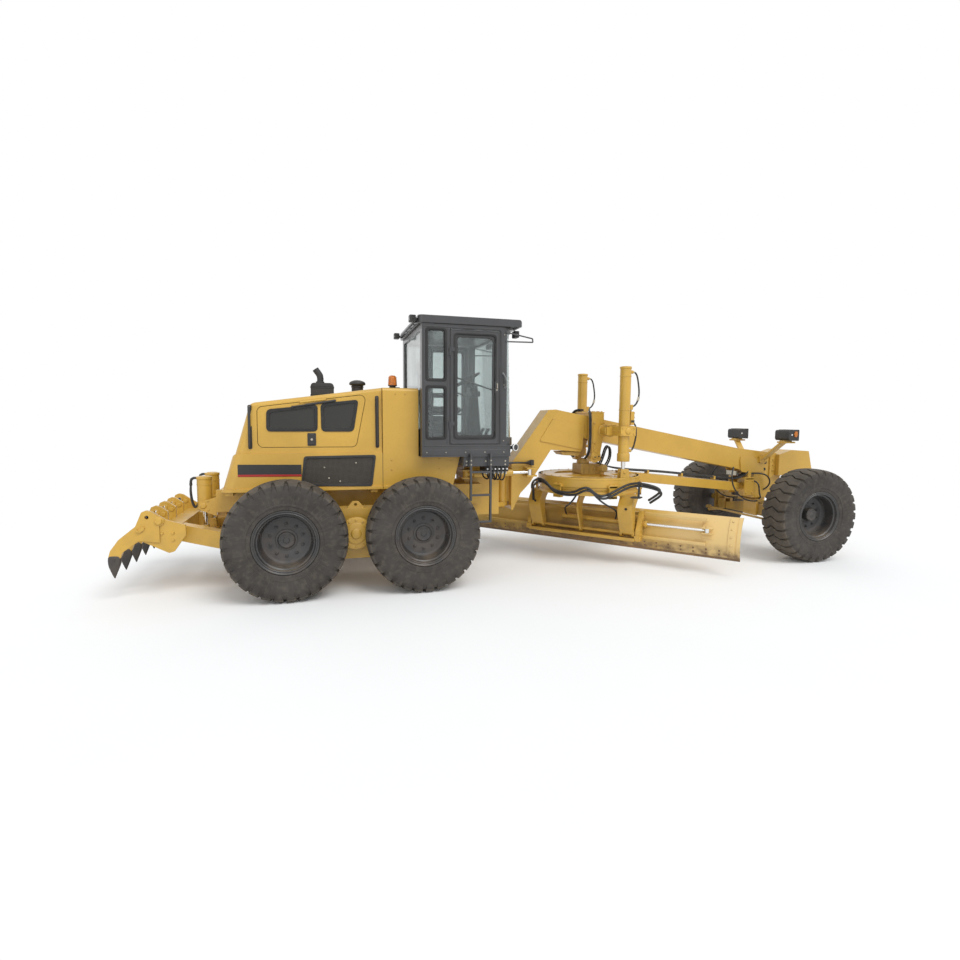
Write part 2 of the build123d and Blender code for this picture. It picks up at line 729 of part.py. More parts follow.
def steering_wheel():
    """The rim, hub and three spokes, flat about the origin."""
    rim_face = Plane.XZ * Pos(WHEEL_R, 0) * RegularPolygon(15, 6)
    wheel = revolve(rim_face, Axis.Z) + Cylinder(45, 36)
    for turn in (0, 120, 240):
        wheel += Rot(0, 0, turn) * Pos(WHEEL_R / 2, 0, 0) * Box(WHEEL_R, 34, 10)
    return wheel


def console_solids():
    floor = CAB_FLOOR + CAB_WALL + SEAT
    x, z = WHEEL_AT
    column = side_plate([(1560, floor), (1760, floor), (1700, z - 140), (1590, z - 90)], -110, 110, 20)
    shelf = block(1585, 1705, -230, 230, z - 240, z - 160)
    stem = bar((1640, 0, z - 150), (x, 0, z), 25)
    console = column + shelf + stem + Pos(x, 0, z) * Rot(0, WHEEL_TILT, 0) * steering_wheel()
    for y in (-190, -150, 150, 190):
        console += bar((1640, y, z - 170), (1585, y, z + 20), 9)
    return console


def cab_interior():
    """The seat, and the console with its column, wheel and levers."""
    return seat_solids() + console_solids()


# Each pair of roof lamps: rear face, front face, distance from the middle, bottom, top
ROOF_LAMPS = [
    (ROOF_REAR - 100, ROOF_REAR - 25, 750, CAB_TOP + 10, CAB_TOP + 88),
    (CAB_FRONT + 30, CAB_FRONT + 95, 600, CAB_TOP - 100, CAB_TOP - 15),
]
SIDE_LAMP = (SKIRT_FRONT + 57, CAB_FLOOR - 25)
SIDE_LAMP_R = 48


def work_lamps():
    """The beacon on the tank, the roof's lamps on their brackets and the round lamps ahead of the skirt."""
    low = TANK_TOP + SEAT
    profile = [(0, low), (40, low), (40, 2440), (58, 2440), (52, 2555), (38, 2575), (0, 2578)]
    lamps = lathe(500, BEACON_Y, profile)
    for x0, x1, y, z0, z1 in ROOF_LAMPS:
        lamps += both_sides(fillet(block(x0, x1, y - 55, y + 55, z0, z1).edges(), 10))
    x0, x1, y, z0, z1 = ROOF_LAMPS[0]
    lamps += both_sides(block(x1 - 1, ROOF_REAR - SEAT, y - 14, y + 14, z0 + 20, z0 + 50))
    x0, x1, y, z0, z1 = ROOF_LAMPS[1]
    lamps += both_sides(block(x0 + 4, x0 + 18, y - 14, y + 14, z1 - 1, CAB_TOP))
    x, z = SIDE_LAMP
    side_lamp = cross_bar(x, z, SIDE_LAMP_R, CAB_HALF - 25, CAB_HALF + 25)
    side_lamp += block(SKIRT_FRONT + SEAT, x, CAB_HALF - 30, CAB_HALF - 12, z - 25, z + 20)
    return lamps + both_sides(side_lamp)


LADDER_X = (1406, 1663)
LADDER_Y = 875
LADDER_LOW = (1010, 730)
RUNG_Z = (1080, 1370)


def ladders():
    """A ladder below each door. The rear stile ends higher, clear of the tyre."""
    ladder = None
    for x, low in zip(LADDER_X, LADDER_LOW):
        stile = block(x - 12, x + 12, LADDER_Y - 20, LADDER_Y + 20, low, 1600)
        stile += block(x - 12, x + 12, CAB_HALF + SEAT, LADDER_Y, 1570, 1600)
        ladder = stile if ladder is None else ladder + stile
    for z in RUNG_Z:
        ladder += block(*LADDER_X, LADDER_Y - 20, LADDER_Y + 20, z - 12, z + 12)
    foot = LADDER_LOW[1]
    ladder += block(LADDER_X[0] + 70, LADDER_X[1], LADDER_Y - 20, LADDER_Y + 20, foot, foot + 24)
    return both_sides(ladder)


# Front frame

NECK_TOP_X = 2732
NECK_TOP_Z = 2167
BEAM_TOP = (2841, 2176)
BEAM_SLOPE = -10.4
BEAM_DEPTH = 325


def beam_top(x):
    return BEAM_TOP[1] + (x - BEAM_TOP[0]) * tan(radians(BEAM_SLOPE))


HEAD_REAR = WHEELBASE - 178
HEAD_FRONT = WHEELBASE + 222
HEAD_TIP = WHEELBASE + 362
HEAD_LOW = 800
HEAD_STEP = 1190
AXLE_PIN_Z = 600
AXLE_PIN_R = 35
POST_X = (WHEELBASE - 80, WHEELBASE + 80)
NOSE_HALF = 250
SADDLE_HALF = 90
LEG_IN = 165
LEG_OUT = 300
LEG_LOW = 1470
PAD_T = 12
# The raised panel on the neck's side and the pad on the head's side, seen from the side
NECK_PANEL = [(2598, 1729), (2796, 2039), (SADDLE_X - 139, 1955), (SADDLE_X - 168, 1600)]
HEAD_PAD = [
    (WHEELBASE - 459, 1475), (WHEELBASE - 418, 1217), (WHEELBASE + 2, 1217), (WHEELBASE - 16, 1416),
]
# The holes in the head's side: place along the machine, height
HEAD_HOLES = [(WHEELBASE + 41, 1367), (WHEELBASE + 27, 1259)]


def front_frame():
    arch = HEAD_REAR - 320
    outline = [
        (NECK_REAR, 760), (NECK_REAR + 25, 747), (2325, 991), (2456, 1124), (2775, 1600),
        (3250, 1570), (3280, beam_top(3280) - BEAM_DEPTH), (arch, beam_top(arch) - BEAM_DEPTH),
        (HEAD_REAR, HEAD_STEP), (HEAD_REAR, HEAD_LOW), (HEAD_FRONT, HEAD_LOW), (HEAD_TIP, HEAD_STEP),
        (HEAD_TIP, 1500), (WHEELBASE - 528, beam_top(WHEELBASE - 528)), BEAM_TOP, (NECK_TOP_X, NECK_TOP_Z),
        (NECK_REAR, 1420),
    ]
    frame = side_plate(outline, -NECK_HALF, NECK_HALF)
    for panel in (NECK_PANEL, HEAD_PAD):
        frame += both_sides(side_plate(panel, NECK_HALF - 1, NECK_HALF + PAD_T, 15))
    for x, z in HEAD_HOLES:
        frame -= both_sides(cross_bar(x, z, 20, NECK_HALF - 40, NECK_HALF + 20))
    barrel_low = EAR_LOW + EAR_T + SEAT
    barrel_high = EAR_HIGH - EAR_T - SEAT
    frame += post(PIVOT_X, 0, EAR_R - 5, barrel_low, barrel_high)
    frame += block(PIVOT_X, NECK_REAR + 5, -60, 60, barrel_low, barrel_high)
    frame -= post(PIVOT_X, 0, PIVOT_R + PIN_FIT, barrel_low - 1, barrel_high + 1)
    frame += block(POST_X[0], POST_X[1], -NECK_HALF + 20, NECK_HALF - 20, AXLE_PIN_Z - 100, HEAD_LOW + 1)
    gap = BEAM_HALF_X + SEAT
    frame -= block(WHEELBASE - gap, WHEELBASE + gap, -NECK_HALF, NECK_HALF, AXLE_PIN_Z - 110, 760)
    frame += bar((POST_X[0], 0, AXLE_PIN_Z), (POST_X[1], 0, AXLE_PIN_Z), AXLE_PIN_R)
    frame += ball_seat()
    frame += both_sides(articulation_ears())
    return frame + nose_box()


def nose_box():
    """The sloping box ahead of the axle."""
    outline = [
        (HEAD_FRONT, 1160), (WHEELBASE + 852, 1200), (WHEELBASE + 887, 1240), (WHEELBASE + 807, 1550),
        (WHEELBASE + 467, 1570), (HEAD_FRONT, 1500),
    ]
    return side_plate(outline, -NOSE_HALF, NOSE_HALF)


def ball_seat():
    """The bracket behind the head with the hollow seat of the drawbar's ball."""
    seat_block = block(BALL_X, HEAD_REAR + 1, -95, 95, BALL_Z - 100, BALL_Z + 140)
    return seat_block - Pos(BALL_X, 0, BALL_Z) * Sphere(BALL_R + PIN_FIT)


def articulation_ears():
    x, y, z = ART_EYE
    low = z - ART_EYE_HALF - SEAT
    high = z + ART_EYE_HALF + SEAT
    ears = block(x - 45, x + 100, NECK_HALF - 5, y + 40, high, high + CHEEK_T)
    return ears + block(x - 45, x + 100, NECK_HALF - 5, y + 40, low - CHEEK_T, low)


YOKE_HALF = 115
YOKE_ROOM = BARREL_R + 14
YOKE_IN = LIFT_Y - YOKE_HALF
YOKE_OUT = LIFT_Y + YOKE_HALF
TRUNNION_R = 25


def saddle():
    """The bracket astride the beam, with an arm and a yoke on each side for a lift cylinder."""
    top = beam_top(SADDLE_X)
    leg = side_plate([
        (SADDLE_X - SADDLE_HALF, top + 60), (SADDLE_X + SADDLE_HALF + 10, top + 60),
        (SADDLE_X + SADDLE_HALF + 10, 1800), (SADDLE_X + 40, LEG_LOW), (SADDLE_X - 70, LEG_LOW),
        (SADDLE_X - SADDLE_HALF, 1700)], LEG_IN + PAD_T, LEG_OUT, 12)
    body = both_sides(leg)
    body += block(SADDLE_X - SADDLE_HALF, SADDLE_X + SADDLE_HALF, -LEG_IN - PAD_T - 5, LEG_IN + PAD_T + 5,
                  beam_top(SADDLE_X - SADDLE_HALF) + SEAT, top + 60)
    arm = cross_bar(SADDLE_X + 90, TRUNNION_Z, 70, LEG_OUT - 60, YOKE_IN - SEAT)
    end = YOKE_IN - SEAT
    arm += block(SADDLE_X + 20, LIFT_X + YOKE_HALF, end - 60, end, TRUNNION_Z - 60, TRUNNION_Z + 60)
    return body + both_sides(arm) + both_sides(saddle_yoke())


def saddle_yoke():
    """The left yoke: two cheeks for the trunnion pins, and the bars before and behind the cylinder."""
    low = TRUNNION_Z - 65
    high = TRUNNION_Z + 65
    yoke = block(LIFT_X - YOKE_HALF, LIFT_X + YOKE_HALF, YOKE_IN, LIFT_Y - YOKE_ROOM, low, high)
    yoke += block(LIFT_X - YOKE_HALF, LIFT_X + YOKE_HALF, LIFT_Y + YOKE_ROOM, YOKE_OUT, low, high)
    yoke -= cross_bar(LIFT_X, TRUNNION_Z, TRUNNION_R + PIN_FIT, YOKE_IN - 1, YOKE_OUT + 1)
    reach = YOKE_ROOM - SEAT
    for x0 in (LIFT_X - YOKE_HALF, LIFT_X + YOKE_ROOM):
        yoke += block(x0, x0 + YOKE_HALF - YOKE_ROOM, LIFT_Y - reach, LIFT_Y + reach, low, high)
    return yoke


LAMP_X = WHEELBASE + 72
LAMP_Y = 530


def headlamps():
    """Two lamps on stalks above the front head."""
    lamp = block(LAMP_X - 95, LAMP_X + 95, LAMP_Y - 140, LAMP_Y + 140, 1735, 1905)
    lamp = fillet(lamp.edges(), 25)
    stalk = bar((LAMP_X - 120, NECK_HALF + 40, 1430), (LAMP_X - 50, LAMP_Y - 20, 1705), 22)
    stalk += block(LAMP_X - 90, LAMP_X + 60, LAMP_Y - 60, LAMP_Y + 60, 1700, 1736)
    foot = block(LAMP_X - 170, LAMP_X - 70, NECK_HALF + PAD_T + SEAT, NECK_HALF + 54, 1370, 1470)
    return both_sides(lamp + stalk + foot)


# Front axle, lean and steering

LEAN_Y = 660
LEAN_Z = 560
LEAN_PIN_R = 30
LEAN_TOP_Z = 755
LEAN_TOP_Y = LEAN_Y
KING_Y = 800
KING_R = 30
KING_BOSS_R = 46
KING_LOW = 530
KING_HIGH = 820
BEAM_HALF_X = 45
LEAN_BAR_X = WHEELBASE - 118


def front_axle():
    """The beam between the lean pins, held at its middle by the pin through the head's feet."""
    outline = [
        (-LEAN_Y, LEAN_Z - 55), (-LEAN_Y, LEAN_Z + 55), (-200, 690), (200, 690),
        (LEAN_Y, LEAN_Z + 55), (LEAN_Y, LEAN_Z - 55), (200, 510), (-200, 510),
    ]
    face = make_face(Polyline(*outline, close=True))
    beam = extrude(Plane.YZ.offset(WHEELBASE - BEAM_HALF_X) * face, 2 * BEAM_HALF_X)
    for y in (-LEAN_Y, LEAN_Y):
        beam += bar((WHEELBASE - BEAM_HALF_X, y, LEAN_Z), (WHEELBASE + BEAM_HALF_X, y, LEAN_Z), 55)
        beam += bar((WHEELBASE - 100, y, LEAN_Z), (WHEELBASE + 100, y, LEAN_Z), LEAN_PIN_R)
    return beam - bar((POST_X[0] - 5, 0, AXLE_PIN_Z), (POST_X[1] + 5, 0, AXLE_PIN_Z), AXLE_PIN_R + PIN_FIT)


def lean_yoke():
    """The left yoke: two cheeks on the lean pin, the kingpin's boss and the lean bar's pin."""
    inner = KING_Y - KING_BOSS_R - 10
    gap = BEAM_HALF_X + SEAT
    cheek = block(WHEELBASE + gap, WHEELBASE + 95, LEAN_Y - 50, inner, LEAN_Z - 55, LEAN_Z + 120)
    cheeks = cheek + mirror(cheek, about=Plane.YZ.offset(WHEELBASE))
    web = block(WHEELBASE - 95, WHEELBASE + 95, LEAN_Y + 62, inner, LEAN_Z - 25, KING_HIGH - 10)
    web += block(WHEELBASE - 35, WHEELBASE + 35, inner - 1, KING_Y, KING_LOW + 20, KING_HIGH - 20)
    horn = block(WHEELBASE - 70, WHEELBASE + 70, LEAN_TOP_Y - 45, inner, LEAN_Z + 115, LEAN_TOP_Z + 40)
    boss = post(WHEELBASE, KING_Y, KING_BOSS_R, KING_LOW, KING_HIGH)
    yoke = cheeks + web + horn + boss
    yoke -= bar((WHEELBASE - 101, LEAN_Y, LEAN_Z), (WHEELBASE + 101, LEAN_Y, LEAN_Z), LEAN_PIN_R + PIN_FIT)
    yoke -= post(WHEELBASE, KING_Y, KING_R + PIN_FIT, KING_LOW - 1, KING_HIGH + 1)
    pin = bar((LEAN_BAR_X - 30, LEAN_TOP_Y, LEAN_TOP_Z), (WHEELBASE - 60, LEAN_TOP_Y, LEAN_TOP_Z), 18)
    return yoke + pin


TIE_X = WHEELBASE - 230
TIE_PIN_R = 14
ARM_LOW = 448
ARM_HIGH = KING_LOW - 34
TIE_BLOCK = 25
TIE_Z = ARM_HIGH + SEAT + TIE_BLOCK
FACE_Y = KING_Y + KING_BOSS_R + RUN


def knuckle():
    """The left knuckle: two lugs on the kingpin, the wheel's spindle and the steering arm."""
    lug = block(WHEELBASE - 46, WHEELBASE + 46, KING_Y, FACE_Y + 38, 0, 40)
    lug += post(WHEELBASE, KING_Y, KING_BOSS_R, 0, 40)
    low = Pos(0, 0, KING_LOW - SEAT - 40) * lug
    high = Pos(0, 0, KING_HIGH + SEAT) * lug
    reach = SEAT + 40
    face = block(WHEELBASE - 60, WHEELBASE + 60, FACE_Y, FACE_Y + 38, KING_LOW - reach, KING_HIGH + reach)
    pin = post(WHEELBASE, KING_Y, KING_R, KING_LOW - 30, KING_HIGH + 30)
    spindle = cross_bar(WHEELBASE, AXLE_Z, STUB_R, FACE_Y, STUB_END)
    arm = block(TIE_X, WHEELBASE + 30, KING_Y - 30, KING_Y + 30, ARM_LOW, ARM_HIGH)
    arm += post(TIE_X, KING_Y, TIE_BLOCK - 1, ARM_LOW, ARM_HIGH)
    arm -= post(TIE_X, KING_Y, TIE_PIN_R + PIN_FIT, ARM_LOW - 1, ARM_HIGH + 1)
    return low + high + face + pin + spindle + arm


def tie_rod_end():
    """The left end joint of the tie rod: an upright pin in the steering arm under a block."""
    end = block(TIE_X - TIE_BLOCK, TIE_X + TIE_BLOCK, KING_Y - TIE_BLOCK, KING_Y + TIE_BLOCK,
                ARM_HIGH + SEAT, TIE_Z + TIE_BLOCK)
    return end + post(TIE_X, KING_Y, TIE_PIN_R, ARM_LOW - 8, ARM_HIGH + 5)


def lean_bar():
    bar_shape = cross_bar(LEAN_BAR_X, LEAN_TOP_Z, 24, -LEAN_TOP_Y + 30, LEAN_TOP_Y - 30)
    for y in (-LEAN_TOP_Y, LEAN_TOP_Y):
        bar_shape += bar((LEAN_BAR_X - 26, y, LEAN_TOP_Z), (LEAN_BAR_X + 26, y, LEAN_TOP_Z), 38)
        bar_shape -= bar((LEAN_BAR_X - 40, y, LEAN_TOP_Z), (LEAN_BAR_X + 40, y, LEAN_TOP_Z), 18 + PIN_FIT)
    return bar_shape


def tie_rod():
    """The tie rod behind the axle. Its right eye turns on that end's pin, its left one is free to slip."""
    x1 = TIE_X - TIE_BLOCK - SEAT
    middle = x1 - 17
    rod = cross_bar(middle, TIE_Z, 17, -KING_Y, KING_Y)
    for y in (-KING_Y, KING_Y):
        rod += bar((x1 - 34, y, TIE_Z), (x1, y, TIE_Z), TIE_BLOCK - 1)
    return rod - bar((x1 - 35, -KING_Y, TIE_Z), (x1 + 1, -KING_Y, TIE_Z), TIE_PIN_R + PIN_FIT)


def tie_rod_end_right():
    """The right end joint, with the level pin that the tie rod turns on."""
    x = TIE_X - TIE_BLOCK
    return other_side(tie_rod_end()) + bar((x - 42, -KING_Y, TIE_Z), (x + 1, -KING_Y, TIE_Z), TIE_PIN_R)


# Drawbar, circle and blade

CHEEK_GAP = 28
LIFT_EYE_Z = 1310
LIFT_EYE_R = 40


def drawbar():
    """The beam from the front ball to the plate over the circle, with the gearbox and lift cheeks."""
    low = RING_TOP + SEAT
    beam = side_plate([
        (CIRCLE_X + 540, low), (CIRCLE_X + 540, PLATE_TOP + 30), (BALL_X - 160, BALL_Z + 70),
        (BALL_X - 30, BALL_Z + 35), (BALL_X - 30, BALL_Z - 35), (BALL_X - 220, BALL_Z - 62),
        (CIRCLE_X + CIRCLE_R + 20, low + RUN)], -120, 120)
    beam -= both_sides(plan_plate([(BALL_X - 200, 125), (BALL_X, 30), (BALL_X, 125)], 800, 1200))
    beam += Pos(BALL_X, 0, BALL_Z) * Sphere(BALL_R)
    ring = post(CIRCLE_X, 0, CIRCLE_R + 10, low, PLATE_TOP)
    ring -= post(CIRCLE_X, 0, CIRCLE_IN - 60, RING_TOP - 1, PLATE_TOP + 1)
    cross = block(LIFT_X - 60, LIFT_X + 80, -LIFT_Y - CHEEK_GAP - CHEEK_T, LIFT_Y + CHEEK_GAP + CHEEK_T,
                  low, PLATE_TOP)
    spine = block(CIRCLE_X - 560, CIRCLE_X + 560, -130, 130, low, PLATE_TOP)
    gearbox = block(CIRCLE_X - 170, CIRCLE_X + 170, -145, 145, PLATE_TOP - 1, PLATE_TOP + 150)
    frame = beam + ring + cross + spine + gearbox
    for side in (-1, 1):
        for edge in (-1, 1):
            inner = side * LIFT_Y + edge * (CHEEK_GAP + SEAT)
            outer = side * LIFT_Y + edge * (CHEEK_GAP + CHEEK_T)
            frame += side_plate([
                (LIFT_X - 60, PLATE_TOP - 1), (LIFT_X + 80, PLATE_TOP - 1), (LIFT_X + 60, LIFT_EYE_Z + 45),
                (LIFT_X - 50, LIFT_EYE_Z + 45)], min(inner, outer), max(inner, outer))
    return frame


BALL_R = 62


def turned(shape):
    """Puts a shape of the blade group, laid out square about the circle's centre, at its turned place."""
    return Pos(CIRCLE_X, 0, 0) * Rot(0, 0, CIRCLE_TURN) * shape


ARM_T = 26
ARM_HEAD = (-280, -50)
ELBOW = (-400, 800)
FOOT_R = 50
PITCH_PIN_R = 22


def bent_arm(y0, y1):
    """One sheet of a blade arm: down and back to the elbow, then forward to the eye of the pitch pin."""
    outline = [
        (ARM_HEAD[0], RING_LOW - 20), ELBOW, (PITCH_X - FOOT_R, PITCH_Z), (PITCH_X + FOOT_R, PITCH_Z),
        (PITCH_X + FOOT_R - 2, PITCH_Z + 50), (ELBOW[0] + 170, ELBOW[1] - 10), (ARM_HEAD[1], RING_LOW - 20),
    ]
    return side_plate(outline, y0, y1) + cross_bar(PITCH_X, PITCH_Z, FOOT_R, y0, y1)


def circle():
    """The gear ring with its two bent arms and the middle rib, each with an eye for the pitch pin."""
    group = post(0, 0, CIRCLE_R, RING_LOW, RING_TOP) - post(0, 0, CIRCLE_IN, RING_LOW - 1, RING_TOP + 1)
    for y in (-ARM_ALONG, ARM_ALONG):
        group += bent_arm(y - ARM_HALF, y - ARM_HALF + ARM_T)
        group += bent_arm(y + ARM_HALF - ARM_T, y + ARM_HALF)
        group += side_plate([
            (ARM_HEAD[0], RING_LOW - 20), ELBOW, (PITCH_X - FOOT_R, PITCH_Z),
            (PITCH_X - FOOT_R + 20, PITCH_Z + 20),
            (ELBOW[0] + 22, ELBOW[1]), (ARM_HEAD[0] + 22, RING_LOW - 20)], y - ARM_HALF, y + ARM_HALF)
        group += block(*ARM_HEAD, y - ARM_HALF, y + ARM_HALF, RING_LOW - 25, RING_LOW)
    group += bent_arm(-ARM_T / 2, ARM_T / 2)
    group += block(ARM_HEAD[0], ARM_HEAD[1], -60, 60, RING_LOW - 25, RING_LOW)
    group += block(-CIRCLE_IN - 20, ARM_HEAD[1], -60, 60, RING_LOW, RING_LOW + 30)
    group -= cross_bar(PITCH_X, PITCH_Z, PITCH_PIN_R + PIN_FIT, -1000, 1000)
    return turned(group)


CARRIER_ALONG = ARM_ALONG + ARM_HALF + 50
GUIDE_T = 60
RAIL_HALF = 22
UPPER_RAIL = (-30, 715)
LOWER_RAIL = (-115, 400)
RAIL_LENGTH = 1720
SHIFT_X = -88
SHIFT_Z = 580
SHIFT_BARREL_R = 36
SHIFT_ROD_R = 20
SHIFT_EYE = -1730
SHIFT_EYE_R = 34
SHIFT_EYE_HALF = 27
SHIFT_PIN_R = 16
SHIFT_ROD_END = -200
SHIFT_TRAVEL = 500


def blade_carrier():
    """The pitching carrier: a pin through the arms' feet and two guides that hold the blade's rails."""
    reach = CARRIER_ALONG + GUIDE_T / 2
    carrier = cross_bar(PITCH_X, PITCH_Z, PITCH_PIN_R, -reach - 10, reach + 10)
    jaw = RAIL_HALF + 30
    guide = side_plate([
        (PITCH_X - 40, LOWER_RAIL[1] - jaw), (LOWER_RAIL[0] + 12, LOWER_RAIL[1] - jaw),
        (LOWER_RAIL[0] + 12, LOWER_RAIL[1] + jaw), (UPPER_RAIL[0] + 12, UPPER_RAIL[1] - jaw),
        (UPPER_RAIL[0] + 12, UPPER_RAIL[1] + jaw), (UPPER_RAIL[0] - 60, UPPER_RAIL[1] + jaw),
        (PITCH_X - 40, PITCH_Z + 60)], -GUIDE_T / 2, GUIDE_T / 2)
    gap = RAIL_HALF + SEAT
    for x, z in (UPPER_RAIL, LOWER_RAIL):
        guide -= block(x - gap, x + 100, -GUIDE_T, GUIDE_T, z - gap, z + gap)
    for y in (-CARRIER_ALONG, CARRIER_ALONG):
        carrier += Pos(0, y, 0) * guide
    far = SHIFT_ROD_END + SHIFT_TRAVEL + 20
    carrier += cross_bar(SHIFT_X, SHIFT_Z, SHIFT_BARREL_R, -reach - 40, far + 30)
    carrier -= cross_bar(SHIFT_X, SHIFT_Z, SHIFT_ROD_R + PIN_FIT, -reach - 41, far)
    return turned(carrier)


def blade_angle(z):
    """The angle about the blade's centre of curvature at which its back reaches a height."""
    return pi - asin((z - BLADE_CENTRE[1]) / BLADE_R)


def curved_strip(back, front, low, high, y0, y1):
    """A strip of the blade's section between two heights, its faces set forward of the blade's back."""
    angles = (blade_angle(low), (blade_angle(low) + blade_angle(high)) / 2, blade_angle(high))

    def arc(depth):
        radius = BLADE_R - depth
        return [(BLADE_CENTRE[0] + radius * cos(a), BLADE_CENTRE[1] + radius * sin(a)) for a in angles]

    outer = arc(back)
    inner = arc(front)
    edges = [
        ThreePointArc(*outer), Line(outer[2], inner[2]), ThreePointArc(*reversed(inner)),
        Line(inner[0], outer[0]),
    ]
    return extrude(Plane.XZ.offset(-y1) * make_face(edges), y1 - y0)


def moldboard():
    """The curved blade with its rails behind and the lug of the side shift rod."""
    blade = curved_strip(0, BLADE_T, BLADE_LOW, BLADE_TOP, -BLADE_HALF, BLADE_HALF)
    for x, z in (UPPER_RAIL, LOWER_RAIL):
        half = RAIL_HALF
        blade += block(x - half, x + half, -RAIL_LENGTH, RAIL_LENGTH, z - half, z + half)
        back = BLADE_CENTRE[0] + BLADE_R * cos(blade_angle(z))
        for index in range(-4, 5):
            y = index * (RAIL_LENGTH - 20) / 4
            blade += block(x, back + 30, y - 20, y + 20, z - RAIL_HALF + 4, z + RAIL_HALF - 4)
    reach = SHIFT_EYE_HALF + 18
    cheek = block(SHIFT_X - 30, -30, SHIFT_EYE - 40, SHIFT_EYE + 40, SHIFT_EYE_HALF + SEAT, reach)
    for turn in (1, -1):
        blade += Pos(0, 0, SHIFT_Z) * (cheek if turn > 0 else mirror(cheek, about=Plane.XY))
    blade += post(SHIFT_X, SHIFT_EYE, SHIFT_PIN_R, SHIFT_Z - reach, SHIFT_Z + reach)
    return turned(blade)


def cutting_edge():
    edge = curved_strip(BLADE_T + SEAT, BLADE_T + EDGE_T, EDGE_LOW, EDGE_TOP, -BLADE_HALF, BLADE_HALF)
    return turned(edge)


def side_shift_rod():
    rod = cross_bar(SHIFT_X, SHIFT_Z, SHIFT_ROD_R, SHIFT_EYE, SHIFT_ROD_END)
    rod += post(SHIFT_X, SHIFT_EYE, SHIFT_EYE_R, SHIFT_Z - SHIFT_EYE_HALF, SHIFT_Z + SHIFT_EYE_HALF)
    rod -= post(SHIFT_X, SHIFT_EYE, SHIFT_PIN_R + PIN_FIT, SHIFT_Z - 50, SHIFT_Z + 50)
    return turned(rod)


# Cylinders


def lift_cylinders():
    """Both lift cylinders: barrels with a gland below, and trunnion pins in the saddle's yokes."""
    barrel = post(LIFT_X, LIFT_Y, BARREL_R, 1490, 2760)
    barrel += post(LIFT_X, LIFT_Y, BARREL_R + 8, 1460, 1560)
    barrel += cross_bar(LIFT_X, TRUNNION_Z, TRUNNION_R, YOKE_IN + 5, YOKE_OUT - 5)
    barrel -= post(LIFT_X, LIFT_Y, ROD_R + PIN_FIT, 1459, 2700)
    return both_sides(barrel)


def lift_rods():
    rod = post(LIFT_X, LIFT_Y, ROD_R, LIFT_EYE_Z + 85, 2100)
    rod += post(LIFT_X, LIFT_Y, CHEEK_GAP - 4, LIFT_EYE_Z, LIFT_EYE_Z + 90)
    rod += cross_bar(LIFT_X, LIFT_EYE_Z, LIFT_EYE_R, LIFT_Y - CHEEK_GAP, LIFT_Y + CHEEK_GAP)
    return both_sides(rod)


ART_BARREL_R = 45
ART_ROD_R = 22
ART_BARREL_START = 110
ART_GLAND = 680
ART_ROD_LENGTH = 640


def along_articulation(shape):
    """Puts a shape drawn along X from the base pin at its place on the left side."""
    x, y, z = ART_BASE
    heading = degrees(atan2(ART_EYE[1] - y, ART_EYE[0] - x))
    return Pos(x, y, z) * Rot(0, 0, heading) * shape


def articulation_cylinder():
    barrel = bar((ART_BARREL_START, 0, 0), (ART_GLAND, 0, 0), ART_BARREL_R)
    barrel += bar((0, 0, 0), (ART_BARREL_START + 5, 0, 0), ART_EYE_R - 6)
    barrel += bar((ART_GLAND - 60, 0, 0), (ART_GLAND + 10, 0, 0), ART_BARREL_R - 5)
    barrel += post(0, 0, ART_EYE_R, -ART_EYE_HALF, ART_EYE_HALF)
    barrel -= bar((ART_BARREL_START + 15, 0, 0), (ART_GLAND + 11, 0, 0), ART_ROD_R + PIN_FIT)
    barrel -= post(0, 0, ART_PIN_R + PIN_FIT, -ART_EYE_HALF - 1, ART_EYE_HALF + 1)
    return along_articulation(barrel)


def articulation_rod():
    reach = hypot(ART_EYE[0] - ART_BASE[0], ART_EYE[1] - ART_BASE[1])
    rod = bar((reach - ART_ROD_LENGTH, 0, 0), (reach, 0, 0), ART_ROD_R)
    rod += post(reach, 0, ART_EYE_R, -ART_EYE_HALF, ART_EYE_HALF)
    return along_articulation(rod)


# Ripper

RIPPER_EYE_Z = 700
BEAM_X = (-2140, -1950)
BEAM_Z = (600, 800)


def shank_outline():
    """The side view of one ripper shank, from its hump to the end that the tooth sits on."""
    return [
        (-2120, 930), (-2200, 990), (-2250, 1002), (-2292, 984), (-2356, 830), (-2525, 690),
        (-2610, 570), (-2632, 488), (-2515, 482), (-2489, 549), (-2330, 668), (-2120, 640),
    ]


